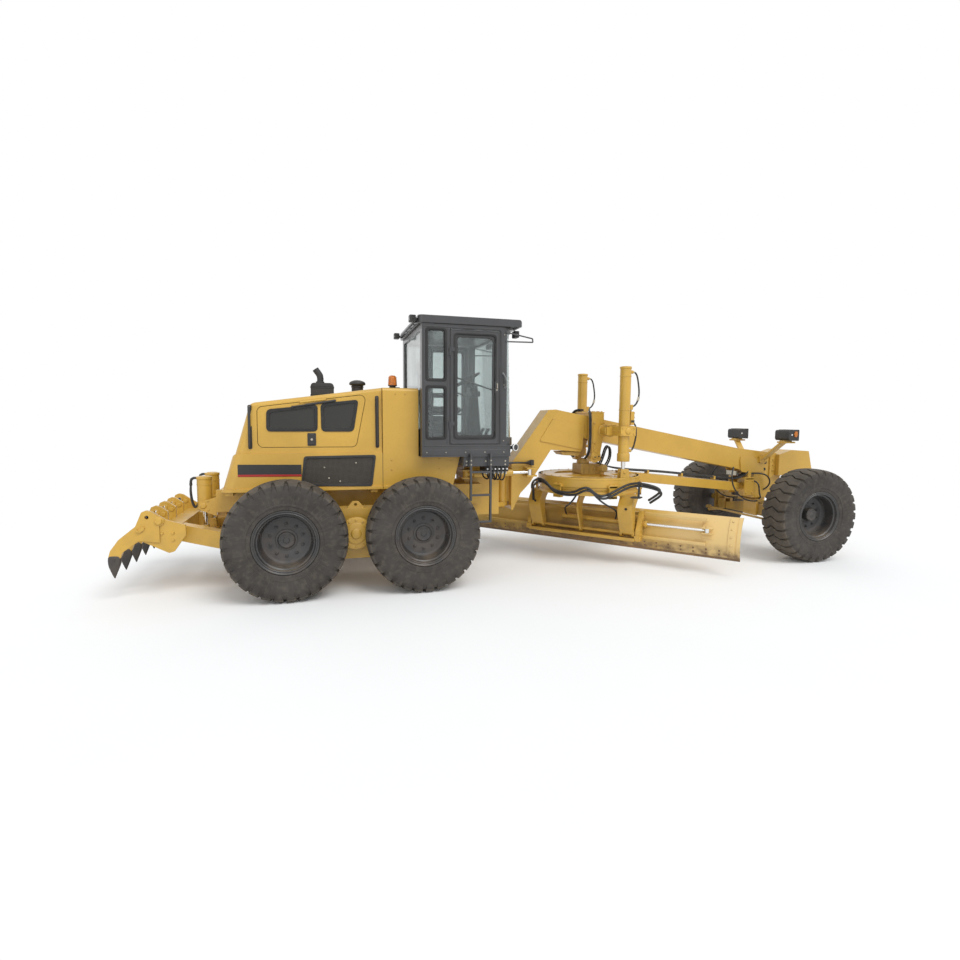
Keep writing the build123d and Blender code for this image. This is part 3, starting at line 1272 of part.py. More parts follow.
def ripper_frame():
    """Arms, cross tube, beam, side plates and shanks, all one weldment that lifts together."""
    arm = side_plate([
        (RIPPER_X + 50, RIPPER_Z - 50), (RIPPER_X + 50, RIPPER_Z + 50), (-1560, 700), (-1960, 800),
        (-1960, 610), (-1560, 500)], RIPPER_ARM_IN, RIPPER_ARM_OUT, 20)
    arm -= cross_bar(RIPPER_X, RIPPER_Z, RIPPER_PIN_R + PIN_FIT, RIPPER_ARM_IN - 1, RIPPER_ARM_OUT + 1)
    half = 2 * SHANK_STEP - SHANK_T / 2
    frame = both_sides(arm)
    frame += block(BEAM_X[0], BEAM_X[1], -half - 5, half + 5, BEAM_Z[0], BEAM_Z[1])
    frame += cross_bar(RIPPER_CYL_X + 10, RIPPER_EYE_Z - 110, 45, -RIPPER_ARM_IN - 5, RIPPER_ARM_IN + 5)
    plate = side_plate([
        (-2250, 1002), (-2200, 990), (-2045, 885), (-1862, 826), (-1857, 715), (-1980, 530), (-2035, 515),
        (-2320, 668), (-2330, 880), (-2292, 984)], half, half + 30, 15)
    frame += both_sides(plate + cross_bar(-2123, 878, 50, half + 29, half + 45))
    for index in range(-2, 3):
        y = index * SHANK_STEP
        frame += side_plate(shank_outline(), y - SHANK_T / 2, y + SHANK_T / 2)
    frame -= cross_bar(-2241, 926, 20, -half - 50, half + 50)
    cheek = side_plate([
        (RIPPER_CYL_X - 50, RIPPER_EYE_Z - 130), (RIPPER_CYL_X + 50, RIPPER_EYE_Z - 130),
        (RIPPER_CYL_X + 35, RIPPER_EYE_Z + 35), (RIPPER_CYL_X - 35, RIPPER_EYE_Z + 35)], 0, CHEEK_T)
    for edge in (-CHEEK_GAP - CHEEK_T, CHEEK_GAP + SEAT):
        frame += both_sides(Pos(0, RIPPER_CYL_Y + edge, 0) * cheek)
    return frame


def ripper_teeth():
    outline = [(-2636, 487.7), (-2511, 481.7), (-2520, 430), (-2580, 262), (-2632, 400)]
    teeth = None
    for index in range(-2, 3):
        y = index * SHANK_STEP
        tooth = side_plate(outline, y - 32, y + 32)
        teeth = tooth if teeth is None else teeth + tooth
    return teeth


def ripper_cylinders():
    barrel = post(RIPPER_CYL_X, RIPPER_CYL_Y, RIPPER_BARREL_R, 930, 1320)
    gap = RIPPER_BARREL_R + RUN + 25
    barrel += cross_bar(RIPPER_CYL_X, RIPPER_TRUNNION_Z, 22, RIPPER_CYL_Y - gap, RIPPER_CYL_Y + gap)
    barrel -= post(RIPPER_CYL_X, RIPPER_CYL_Y, 25 + PIN_FIT, 929, 1303)
    return both_sides(barrel)


def ripper_rods():
    rod = post(RIPPER_CYL_X, RIPPER_CYL_Y, 25, RIPPER_EYE_Z, 1180)
    rod += cross_bar(RIPPER_CYL_X, RIPPER_EYE_Z, 34, RIPPER_CYL_Y - CHEEK_GAP, RIPPER_CYL_Y + CHEEK_GAP)
    return both_sides(rod)


def all_parts():
    shapes = wheel_parts()
    single = (
        rear_frame, rear_axle, engine_block, hood_shell, hood_grilles, tank_box, exhaust_intake,
        cab_frame, cab_glass, cab_roof, cab_interior, work_lamps, ladders, front_frame, saddle,
        headlamps, front_axle, lean_bar, tie_rod, tie_rod_end_right, drawbar, circle, blade_carrier, moldboard,
        cutting_edge, side_shift_rod, lift_cylinders, lift_rods, ripper_frame, ripper_teeth,
        ripper_cylinders, ripper_rods,
    )
    for make in single:
        shapes[make.__name__] = make()
    shapes["tandem_cases"] = both_sides(tandem_case())
    shapes["tie_rod_end_left"] = tie_rod_end()
    paired = (
        hood_door, cab_door, cab_door_glass, lean_yoke, knuckle, articulation_cylinder,
        articulation_rod,
    )
    for make in paired:
        left = make()
        shapes[make.__name__ + "_left"] = left
        shapes[make.__name__ + "_right"] = other_side(left)
    return shapes


os.makedirs("parts", exist_ok=True)
for node, shape in all_parts().items():
    export_step(Pos(-MID_X, 0, 0) * shape, f"parts/{node}.step")
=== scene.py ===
"""The looks of the motor grader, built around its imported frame.

Lengths are metres. Places are given by at(x, y, z), with x forward of the tandem pivot, y to the left
and z up from the ground, as the grader was measured.
"""
from math import cos, pi, radians, sin

import bmesh
import bpy
from mathutils import Matrix, Vector
from mathutils.bvhtree import BVHTree


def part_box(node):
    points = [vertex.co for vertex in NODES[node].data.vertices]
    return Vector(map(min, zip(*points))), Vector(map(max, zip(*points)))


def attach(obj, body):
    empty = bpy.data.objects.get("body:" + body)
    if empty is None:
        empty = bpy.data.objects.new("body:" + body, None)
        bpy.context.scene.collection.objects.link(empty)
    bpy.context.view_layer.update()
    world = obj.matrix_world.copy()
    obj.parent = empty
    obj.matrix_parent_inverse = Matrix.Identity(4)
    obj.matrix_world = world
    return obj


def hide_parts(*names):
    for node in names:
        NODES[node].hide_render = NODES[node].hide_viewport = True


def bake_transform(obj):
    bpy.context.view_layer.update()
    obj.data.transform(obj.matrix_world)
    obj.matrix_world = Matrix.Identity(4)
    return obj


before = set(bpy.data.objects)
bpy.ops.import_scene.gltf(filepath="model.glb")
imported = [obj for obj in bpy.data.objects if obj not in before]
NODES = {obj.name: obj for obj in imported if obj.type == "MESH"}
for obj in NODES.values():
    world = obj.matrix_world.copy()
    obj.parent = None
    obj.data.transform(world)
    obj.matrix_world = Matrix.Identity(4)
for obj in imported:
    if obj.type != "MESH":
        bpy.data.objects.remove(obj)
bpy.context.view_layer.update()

case_low, case_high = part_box("tandem_cases")
TANDEM_X = (case_low.x + case_high.x) / 2
SIDES = ((-1, "right"), (1, "left"))

# Where the blade's circle stands ahead of the tandem pivot, and how far it is turned at rest
CIRCLE_X = 3.450
CIRCLE_TURN = radians(40.8)


def at(x, y, z):
    return Vector((TANDEM_X + x, y, z))


# Camera: where the photograph was taken from, and its lens

IMAGE = 960
SENSOR = 36
CAMERA_AT = at(-0.345, -7.537, 2.022)
CAMERA_YAW = radians(15.68)
CAMERA_PITCH = radians(-5.17)
CAMERA_ROLL = radians(0.41)
FOCAL_PIXELS = 555.1
CENTRE_PIXEL = (480.1, 470.0)


def make_camera():
    data = bpy.data.cameras.new("camera")
    camera = bpy.data.objects.new("camera", data)
    bpy.context.scene.collection.objects.link(camera)
    ahead = Vector((
        sin(CAMERA_YAW) * cos(CAMERA_PITCH), cos(CAMERA_YAW) * cos(CAMERA_PITCH), sin(CAMERA_PITCH),
    ))
    level = Vector((cos(CAMERA_YAW), -sin(CAMERA_YAW), 0))
    rise = level.cross(ahead)
    right = cos(CAMERA_ROLL) * level + sin(CAMERA_ROLL) * rise
    up = cos(CAMERA_ROLL) * rise - sin(CAMERA_ROLL) * level
    turn = Matrix((right, up, -ahead)).transposed().to_4x4()
    camera.matrix_world = Matrix.Translation(CAMERA_AT) @ turn
    data.sensor_width = SENSOR
    data.lens = FOCAL_PIXELS / IMAGE * SENSOR
    data.shift_x = (IMAGE / 2 - CENTRE_PIXEL[0]) / IMAGE
    data.shift_y = (CENTRE_PIXEL[1] - IMAGE / 2) / IMAGE
    data.clip_end = 200
    bpy.context.scene.camera = camera


# Materials


class Material:
    """A procedural finish: colour variation, dust, wear along edges, and fine grain."""

    def __init__(self, name):
        self.material = bpy.data.materials.new(name)
        self.material.use_nodes = True
        self.tree = self.material.node_tree
        self.tree.nodes.clear()
        self.output = self.tree.nodes.new("ShaderNodeOutputMaterial")
        self.shader = self.tree.nodes.new("ShaderNodeBsdfPrincipled")
        self.tree.links.new(self.shader.outputs[0], self.output.inputs["Surface"])
        self.place = self.tree.nodes.new("ShaderNodeTexCoord").outputs["Object"]
        self.surface = self.tree.nodes.new("ShaderNodeNewGeometry")

    def node(self, kind, **values):
        node = self.tree.nodes.new(kind)
        for name, value in values.items():
            setattr(node, name, value)
        return node

    def join(self, source, target):
        self.tree.links.new(source, target)

    def noise(self, scale, detail=4, stretch=None):
        node = self.node("ShaderNodeTexNoise")
        node.inputs["Scale"].default_value = scale
        node.inputs["Detail"].default_value = detail
        place = self.place
        if stretch:
            mapping = self.node("ShaderNodeMapping")
            mapping.inputs["Scale"].default_value = stretch
            self.join(place, mapping.inputs["Vector"])
            place = mapping.outputs[0]
        self.join(place, node.inputs["Vector"])
        return node.outputs["Fac"]

    def span(self, source, low, high, start=0.0, end=1.0):
        node = self.node("ShaderNodeMapRange")
        for name, value in (("From Min", low), ("From Max", high), ("To Min", start), ("To Max", end)):
            node.inputs[name].default_value = value
        self.join(source, node.inputs["Value"])
        return node.outputs[0]

    def times(self, first, second):
        node = self.node("ShaderNodeMath", operation="MULTIPLY")
        self.join(first, node.inputs[0])
        self.join(second, node.inputs[1])
        return node.outputs[0]

    def mix(self, share, first, second):
        """Colours may be sockets or plain values."""
        node = self.node("ShaderNodeMix", data_type="RGBA")
        self.join(share, node.inputs[0])
        for value, target in ((first, node.inputs[6]), (second, node.inputs[7])):
            if isinstance(value, tuple):
                target.default_value = (*value, 1)
            else:
                self.join(value, target)
        return node.outputs[2]

    def edge_mask(self, radius):
        """High along sharp edges, where paint rubs thin."""
        bevel = self.node("ShaderNodeBevel", samples=4)
        bevel.inputs["Radius"].default_value = radius
        dot = self.node("ShaderNodeVectorMath", operation="DOT_PRODUCT")
        self.join(bevel.outputs[0], dot.inputs[0])
        self.join(self.surface.outputs["Normal"], dot.inputs[1])
        return self.span(dot.outputs["Value"], 0.985, 0.80)

    def relief(self, height, depth, strength=1.0, round_edges=0.0):
        bump = self.node("ShaderNodeBump")
        bump.inputs["Strength"].default_value = strength
        bump.inputs["Distance"].default_value = depth
        self.join(height, bump.inputs["Height"])
        if round_edges:
            bevel = self.node("ShaderNodeBevel", samples=4)
            bevel.inputs["Radius"].default_value = round_edges
            self.join(bevel.outputs[0], bump.inputs["Normal"])
        self.join(bump.outputs[0], self.shader.inputs["Normal"])

    def set(self, **values):
        for name, value in values.items():
            self.shader.inputs[name.replace("_", " ")].default_value = value


def shade(colour, factor):
    return tuple(min(1.0, c * factor) for c in colour)


DUST = (0.36, 0.29, 0.20)
MUD = (0.16, 0.11, 0.07)


def painted(name, colour, rough, spread=0.07, dust=0.25, mud=0.25, worn=0.35, worn_colour=(0.30, 0.22, 0.13),
            coat=0.25, round_edges=0.005, metal=0.0):
    """Sprayed paint: slightly uneven, dusty on top, dirty near the ground and rubbed at the edges."""
    m = Material(name)
    base = m.mix(m.span(m.noise(1.7), 0.35, 0.65), shade(colour, 1 - spread), shade(colour, 1 + spread))
    speck = m.mix(m.span(m.noise(38, 2), 0.55, 0.75, 0, 0.35), base, shade(colour, 0.8))
    split = m.node("ShaderNodeSeparateXYZ")
    m.join(m.surface.outputs["Normal"], split.inputs[0])
    lies_up = m.span(split.outputs["Z"], 0.55, 0.95, 0, dust)
    dusty = m.mix(m.times(lies_up, m.span(m.noise(5), 0.35, 0.6)), speck, DUST)
    height = m.node("ShaderNodeSeparateXYZ")
    m.join(m.place, height.inputs[0])
    low = m.span(height.outputs["Z"], 1.0, 0.25, 0, mud)
    dirty = m.mix(m.times(low, m.span(m.noise(6, 6), 0.42, 0.62)), dusty, MUD)
    rub = m.times(m.edge_mask(0.006), m.span(m.noise(11, 5), 0.5, 0.68, 0, worn))
    m.join(m.mix(rub, dirty, worn_colour), m.shader.inputs["Base Color"])
    m.join(m.span(m.noise(14), 0.3, 0.7, rough - 0.06, rough + 0.08), m.shader.inputs["Roughness"])
    m.relief(m.noise(90, 2), 0.0006, 0.35, round_edges)
    m.set(Metallic=metal, Coat_Weight=coat, Coat_Roughness=0.2)
    return m.material


def blade_wear_and_painted_highlight(name):
    """The blade's paint: rubbed brown between the arms and yellow towards its ends, with a painted highlight
    that makes its right end paler.
    """
    m = Material(name)
    place = m.node("ShaderNodeMapping")
    place.inputs["Location"].default_value = (-at(CIRCLE_X, 0, 0).x, 0, 0)
    m.join(m.place, place.inputs["Vector"])
    turn = m.node("ShaderNodeVectorRotate", rotation_type="Z_AXIS")
    turn.inputs["Angle"].default_value = -CIRCLE_TURN
    m.join(place.outputs[0], turn.inputs["Vector"])
    parts = m.node("ShaderNodeSeparateXYZ")
    m.join(turn.outputs[0], parts.inputs[0])
    grain = m.noise(2.6, 6)
    base = m.mix(m.span(m.noise(1.7), 0.35, 0.65), (0.57, 0.36, 0.075), (0.66, 0.43, 0.115))
    # painted highlight: the blade's right end is painted paler, standing in for the light that falls on it
    pale = m.mix(m.span(parts.outputs["Y"], -1.0, -1.35), base, (0.735, 0.515, 0.205))
    bare = m.mix(m.span(m.noise(7, 6, (1, 0.4, 1)), 0.35, 0.65), (0.20, 0.115, 0.05), (0.34, 0.215, 0.085))
    middle = m.times(m.span(parts.outputs["Y"], -0.78, -0.55), m.span(parts.outputs["Y"], 1.15, 0.75))
    low = m.span(parts.outputs["Z"], 0.62, 0.38, 0.35, 1.0)
    patch = m.times(m.times(middle, low), m.span(grain, 0.30, 0.52))
    worn = m.mix(patch, pale, bare)
    foot = m.times(m.span(parts.outputs["Z"], 0.42, 0.28), m.span(m.noise(9, 5), 0.35, 0.6, 0.2, 0.9))
    dirty = m.mix(foot, worn, (0.17, 0.10, 0.05))
    rub = m.times(m.edge_mask(0.006), m.span(m.noise(11, 5), 0.45, 0.65, 0, 0.7))
    m.join(m.mix(rub, dirty, (0.25, 0.18, 0.11)), m.shader.inputs["Base Color"])
    m.join(m.span(m.noise(14), 0.3, 0.7, 0.36, 0.56), m.shader.inputs["Roughness"])
    m.relief(m.noise(60, 3), 0.0008, 0.4, 0.004)
    m.set(Coat_Weight=0.1, Coat_Roughness=0.3)
    return m.material


def bare_steel(name, colour, rough, streak=(3, 60, 60), round_edges=0.002):
    m = Material(name)
    base = m.mix(m.span(m.noise(4, 5, streak), 0.3, 0.7), shade(colour, 0.75), shade(colour, 1.15))
    m.join(base, m.shader.inputs["Base Color"])
    m.join(m.span(m.noise(30, 3, streak), 0.3, 0.7, rough * 0.6, rough * 1.5), m.shader.inputs["Roughness"])
    m.relief(m.noise(80, 2, streak), 0.0003, 0.3, round_edges)
    m.set(Metallic=1.0)
    return m.material


def rubber(name, colour, rough, dust=0.45, grain=140, depth=0.0008):
    """Rubber with pale dust in patches and on its rubbed corners."""
    m = Material(name)
    base = m.mix(m.span(m.noise(3.5, 6), 0.35, 0.65), shade(colour, 0.8), shade(colour, 1.3))
    rub = m.times(m.edge_mask(0.008), m.span(m.noise(9, 4), 0.4, 0.65, 0, dust))
    dusty = m.mix(m.span(m.noise(16, 8), 0.5, 0.8, 0, dust), base, shade(DUST, 0.6))
    m.join(m.mix(rub, dusty, shade(DUST, 0.7)), m.shader.inputs["Base Color"])
    m.join(m.span(m.noise(20), 0.3, 0.7, rough - 0.08, rough + 0.08), m.shader.inputs["Roughness"])
    m.relief(m.noise(grain, 3), depth, 0.5, 0.003)
    m.set(Specular_IOR_Level=0.35)
    return m.material


def clear(name, colour, transmission, rough=0.02, alpha=1.0):
    m = Material(name)
    smear = m.noise(2.2, 6, (1, 1, 0.4))
    m.join(m.mix(m.span(smear, 0.4, 0.7), colour, shade(colour, 0.85)), m.shader.inputs["Base Color"])
    m.join(m.span(smear, 0.4, 0.75, rough, rough + 0.1), m.shader.inputs["Roughness"])
    m.relief(m.noise(1.5, 2), 0.0004, 0.15)
    m.set(Transmission_Weight=transmission, IOR=1.45, Alpha=alpha)
    return m.material


def lamp_lens(name, colour, pitch=260, transmission=0.35):
    """Moulded lens plastic with fine ribs."""
    m = Material(name)
    ribs = m.node("ShaderNodeTexWave", bands_direction="Y")
    ribs.inputs["Scale"].default_value = pitch / 10
    m.join(m.place, ribs.inputs["Vector"])
    m.join(m.mix(ribs.outputs["Fac"], shade(colour, 0.8), shade(colour, 1.1)), m.shader.inputs["Base Color"])
    m.join(m.span(m.noise(20), 0.3, 0.7, 0.08, 0.2), m.shader.inputs["Roughness"])
    m.relief(ribs.outputs["Fac"], 0.001, 0.5)
    m.set(Transmission_Weight=transmission, IOR=1.49)
    return m.material


def vinyl(name, colour):
    m = Material(name)
    cells = m.node("ShaderNodeTexVoronoi")
    cells.inputs["Scale"].default_value = 420
    m.join(m.place, cells.inputs["Vector"])
    m.join(
        m.mix(m.span(m.noise(6), 0.3, 0.7), shade(colour, 0.8), shade(colour, 1.25)),
        m.shader.inputs["Base Color"]
    )
    m.join(m.span(m.noise(25), 0.3, 0.7, 0.42, 0.6), m.shader.inputs["Roughness"])
    m.relief(cells.outputs["Distance"], 0.0008, 0.5)
    m.set(Sheen_Weight=0.1)
    return m.material


def perforated(name, colour, holes=70):
    """Dark sheet with small round holes in rows, for grilles and screens. The holes are painted darker,
    painted shade behind them.
    """
    m = Material(name)
    cells = m.node("ShaderNodeTexVoronoi")
    cells.inputs["Scale"].default_value = holes
    cells.inputs["Randomness"].default_value = 0
    m.join(m.place, cells.inputs["Vector"])
    hole_and_painted_shade = m.span(cells.outputs["Distance"], 0.34, 0.42)
    # painted shade: the holes are painted darker for the shade seen through them
    m.join(m.mix(hole_and_painted_shade, shade(colour, 0.25), colour), m.shader.inputs["Base Color"])
    m.join(m.span(m.noise(14), 0.3, 0.7, 0.45, 0.65), m.shader.inputs["Roughness"])
    m.relief(hole_and_painted_shade, 0.002, 0.6)
    return m.material


def woven_hose(name, colour):
    """Hydraulic hose: black cover with a faint wrap."""
    m = Material(name)
    wrap = m.node("ShaderNodeTexWave", bands_direction="DIAGONAL")
    wrap.inputs["Scale"].default_value = 60
    wrap.inputs["Distortion"].default_value = 1.5
    m.join(m.place, wrap.inputs["Vector"])
    m.join(
        m.mix(m.span(m.noise(12), 0.35, 0.7), shade(colour, 0.7), shade(colour, 1.6)),
        m.shader.inputs["Base Color"]
    )
    m.join(m.span(m.noise(25), 0.3, 0.7, 0.38, 0.58), m.shader.inputs["Roughness"])
    m.relief(wrap.outputs["Fac"], 0.0006, 0.4)
    return m.material


YELLOW = (0.60, 0.355, 0.052)
BLACK = (0.045, 0.045, 0.047)

FINISH = {
    "yellow": painted("yellow_paint_finish", YELLOW, 0.38),
    "black": painted(
        "black_paint_finish", BLACK, 0.36, spread=0.15, dust=0.12, mud=0.15, worn=0.25,
        worn_colour=(0.16, 0.16, 0.16), coat=0.4
    ),
    "rim": painted(
        "rim_finish", (0.038, 0.036, 0.035), 0.42, spread=0.2, dust=0.3, mud=0.35, worn=0.4,
        worn_colour=(0.13, 0.12, 0.11), coat=0.15
    ),
    "trim": painted(
        "black_trim_finish", (0.028, 0.027, 0.026), 0.5, spread=0.2, dust=0.3, mud=0.2, worn=0.15,
        worn_colour=(0.1, 0.1, 0.1), coat=0.0, round_edges=0.003
    ),
    "brown": painted(
        "worn_blade_finish", (0.235, 0.135, 0.055), 0.5, spread=0.3, dust=0.2, mud=0.5, worn=0.8,
        worn_colour=(0.20, 0.17, 0.15), coat=0.0
    ),
    "tooth": painted(
        "cast_tooth_finish", (0.035, 0.032, 0.03), 0.55, spread=0.3, dust=0.25, mud=0.2, worn=0.6,
        worn_colour=(0.16, 0.14, 0.12), coat=0.0
    ),
    "chrome": bare_steel("chrome_finish", (0.80, 0.79, 0.77), 0.13),
    "zinc": bare_steel("zinc_finish", (0.48, 0.44, 0.36), 0.32),
    "rubber": rubber("tyre_wall_finish", (0.045, 0.039, 0.034), 0.66, dust=0.22),
    "tread": rubber("tyre_tread_finish", (0.078, 0.066, 0.053), 0.78, dust=0.30),
    "seal": rubber("window_seal_finish", (0.02, 0.02, 0.02), 0.55, dust=0.1),
    "hose": woven_hose("hose_finish", (0.022, 0.021, 0.020)),
    "glass": clear("cab_glass_finish", (0.72, 0.79, 0.78), 0.93),
    "dark_glass": clear("dark_glass_finish", (0.06, 0.058, 0.05), 0.45, 0.06),
    "screen": perforated("screen_finish", (0.062, 0.052, 0.040)),
    "amber": lamp_lens("amber_finish", (0.85, 0.26, 0.03)),
    "lens": lamp_lens("clear_lens_finish", (0.82, 0.83, 0.83), transmission=0.6),
    "red": painted("red_stripe_finish", (0.42, 0.02, 0.015), 0.45, spread=0.1, dust=0.1, worn=0.2, coat=0.1),
    "vinyl": vinyl("seat_vinyl_finish", (0.035, 0.035, 0.038)),
    # pale paint for small painted glints and highlights: the headlamp studs, the side lamp rims and the valve
    # unions
    "white": painted("pale_rim_finish", (0.80, 0.80, 0.78), 0.3, spread=0.04, dust=0.1, worn=0.1, coat=0.3),
    "frit": painted(
        "glass_border_finish", (0.016, 0.016, 0.017), 0.16, spread=0.1, dust=0.05, worn=0.0, coat=0.6
    ),
    "grey": painted("handle_finish", (0.20, 0.20, 0.20), 0.4, spread=0.1, dust=0.1, worn=0.3, coat=0.1),
    # the blade's paint, with a painted highlight on its right end
    "blade": blade_wear_and_painted_highlight("blade_wear_and_highlight_finish"),
    "soiled": painted(
        "soiled_paint_finish", (0.44, 0.27, 0.06), 0.5, spread=0.2, dust=0.45, mud=0.5, worn=0.6, coat=0.05
    ),
}


# Building shapes


def rounded(points, radius, steps=5):
    """The outline with every corner turned into a short arc."""
    out = []
    count = len(points)
    for index, point in enumerate(points):
        corner = Vector(point)
        before = Vector(points[index - 1]) - corner
        after = Vector(points[(index + 1) % count]) - corner
        reach = min(radius, before.length * 0.45, after.length * 0.45)
        start = corner + before.normalized() * reach
        end = corner + after.normalized() * reach
        for step in range(steps + 1):
            t = step / steps
            out.append(tuple((1 - t) ** 2 * start + 2 * t * (1 - t) * corner + t ** 2 * end))
    return out


def upright(x0, x1, z0, z1, radius):
    """The outline of a rectangle with rounded corners, seen from the side."""
    return rounded([(x0, z0), (x1, z0), (x1, z1), (x0, z1)], radius)


def sided(side, points):
    """Places given for the left: side 1 keeps them there and side -1 mirrors them to the right."""
    return [at(x, side * y, z) for x, y, z in points]


class Shape:
    """A mesh put together from simple solids, in measured places."""

    def __init__(self):
        self.mesh = bmesh.new()

    def add(self, points, faces):
        verts = [self.mesh.verts.new(point) for point in points]
        for face in faces:
            try:
                self.mesh.faces.new([verts[index] for index in face])
            except ValueError:
                continue
        return verts

    def prism(self, low_ring, high_ring):
        """A closed solid between two rings of points that match one to one."""
        count = len(low_ring)
        faces = [tuple(range(count)), tuple(range(2 * count - 1, count - 1, -1))]
        for index in range(count):
            other = (index + 1) % count
            faces.append((index, index + count, other + count, other))
        return self.add([*low_ring, *high_ring], faces)

    def box(self, x0, x1, y0, y1, z0, z1):
        ring = [(x0, y0), (x1, y0), (x1, y1), (x0, y1)]
        return self.prism([at(x, y, z0) for x, y in ring], [at(x, y, z1) for x, y in ring])

    def plate(self, outline, y0, y1, wall=None):
        """A side view outline, from y0 to y1. With wall, y is measured out from that side surface."""
        def place(x, z, y):
            return at(x, wall(z) + y if wall else y, z)
        return self.prism([place(x, z, y0) for x, z in outline], [place(x, z, y1) for x, z in outline])

    def ring(self, outer, inner, y0, y1, wall=None):
        """A frame between two outlines of as many points, from y0 to y1."""
        count = len(outer)
        rings = []
        for outline in (outer, inner):
            for y in (y0, y1):
                rings.append([at(x, wall(z) + y if wall else y, z) for x, z in outline])
        faces = []
        order = (0, 1, 3, 2)
        for side in range(4):
            a = order[side] * count
            b = order[(side + 1) % 4] * count
            for index in range(count):
                other = (index + 1) % count
                faces.append((a + index, a + other, b + other, b + index))
        return self.add([point for ring in rings for point in ring], faces)

    def loft(self, rings):
        """A closed skin through rings of as many points."""
        count = len(rings[0])
        faces = [tuple(range(count)), tuple(range(len(rings) * count - 1, (len(rings) - 1) * count - 1, -1))]
        for ring in range(len(rings) - 1):
            a = ring * count
            for index in range(count):
                other = (index + 1) % count
                faces.append((a + index, a + count + index, a + count + other, a + other))
        self.add([point for ring in rings for point in ring], faces)

    def rod(self, start, end, radius, end_radius=None, sides=24):
        """A round bar or cone between two places."""
        self.pipe([start, end], radius, sides, end_radius)

    def pipe(self, points, radius, sides=14, end_radius=None):
        """A round bar through a list of places, mitred at its bends."""
        points = [Vector(point) for point in points]
        rings = []
        side = None
        for index, point in enumerate(points):
            before = (point - points[index - 1]).normalized() if index else None
            after = (points[index + 1] - point).normalized() if index + 1 < len(points) else None
            along = ((before or after) + (after or before)).normalized()
            if side is None:
                side = along.orthogonal().normalized()
            side = (side - along * side.dot(along)).normalized()
            other = along.cross(side)
            spread = 1.0
            if before and after:
                spread = 1 / max(0.5, along.dot(after))
            size = radius
            if end_radius is not None and index == len(points) - 1:
                size = end_radius
            bend = (after - before) if before and after else Vector((0, 0, 0))
            bend = bend.normalized() if bend.length > 1e-6 else None
            ring = []
            for step in range(sides):
                angle = 2 * pi * step / sides
                arm = (cos(angle) * side + sin(angle) * other) * size
                if bend:
                    arm += bend * arm.dot(bend) * (spread - 1)
                ring.append(point + arm)
            rings.append(ring)
        flat = [vertex for ring in rings for vertex in ring]
        faces = [tuple(range(sides)), tuple(range(len(flat) - 1, len(flat) - sides - 1, -1))]
        for index in range(len(rings) - 1):
            for step in range(sides):
                other_step = (step + 1) % sides
                a = index * sides
                faces.append((a + step, a + sides + step, a + sides + other_step, a + other_step))
        self.add(flat, faces)

    def turned(self, profile, centre, axis, steps=48, closed=True):
        """A profile of (radius, along) turned about an axis through a place."""
        axis = Vector(axis).normalized()
        side = axis.orthogonal().normalized()
        other = axis.cross(side)
        count = len(profile)
        points = []
        for step in range(steps):
            angle = 2 * pi * step / steps
            arm = cos(angle) * side + sin(angle) * other
            points += [Vector(centre) + arm * radius + axis * along for radius, along in profile]
        faces = []
        for step in range(steps):
            a = step * count
            b = ((step + 1) % steps) * count
            for index in range(count if closed else count - 1):
                other_index = (index + 1) % count
                faces.append((a + index, b + index, b + other_index, a + other_index))
        self.add(points, faces)

    def bolt(self, place, direction, size=0.012, washer=True):
        """A hexagon head on its washer, standing on a surface."""
        direction = Vector(direction).normalized()
        place = Vector(place)
        if washer:
            self.rod(place - direction * 0.002, place + direction * size * 0.25, size * 1.25, sides=16)
        self.rod(place, place + direction * size * 0.95, size, sides=6)

    def move(self, matrix):
        bmesh.ops.transform(self.mesh, matrix=matrix, verts=self.mesh.verts)
        return self

    def both_sides(self):
        """Adds the mirror image on the other side of the machine."""
        made = bmesh.ops.duplicate(self.mesh, geom=[*self.mesh.verts, *self.mesh.edges, *self.mesh.faces])
        verts = [item for item in made["geom"] if isinstance(item, bmesh.types.BMVert)]
        faces = [item for item in made["geom"] if isinstance(item, bmesh.types.BMFace)]
        for vert in verts:
            vert.co.y = -vert.co.y
        bmesh.ops.reverse_faces(self.mesh, faces=faces)
        return self

    def piece(self, name, finish, body, bevel=0.0, segments=2, smooth=35, slot=None, levels=0):
        """Turns the shape into an object that rides on a body."""
        bmesh.ops.recalc_face_normals(self.mesh, faces=self.mesh.faces)
        data = bpy.data.meshes.new(name)
        self.mesh.to_mesh(data)
        self.mesh.free()
        data.polygons.foreach_set("use_smooth", [True] * len(data.polygons))
        data.set_sharp_from_angle(angle=radians(smooth))
        thing = bpy.data.objects.new(name, data)
        bpy.context.scene.collection.objects.link(thing)
        data.materials.append(FINISH[finish])
        if bevel:
            soften(thing, bevel, segments)
        if levels:
            thing.modifiers.new("rounding", "SUBSURF").levels = levels
            thing.modifiers["rounding"].render_levels = levels
        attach(thing, body)
        return thing


def soften(thing, width, segments=2):
    """Rounds the sharp edges of an object."""
    bevel = thing.modifiers.new("soft_edges", "BEVEL")
    bevel.width = width
    bevel.segments = segments
    bevel.limit_method = "ANGLE"
    bevel.angle_limit = radians(40)
    bevel.harden_normals = True


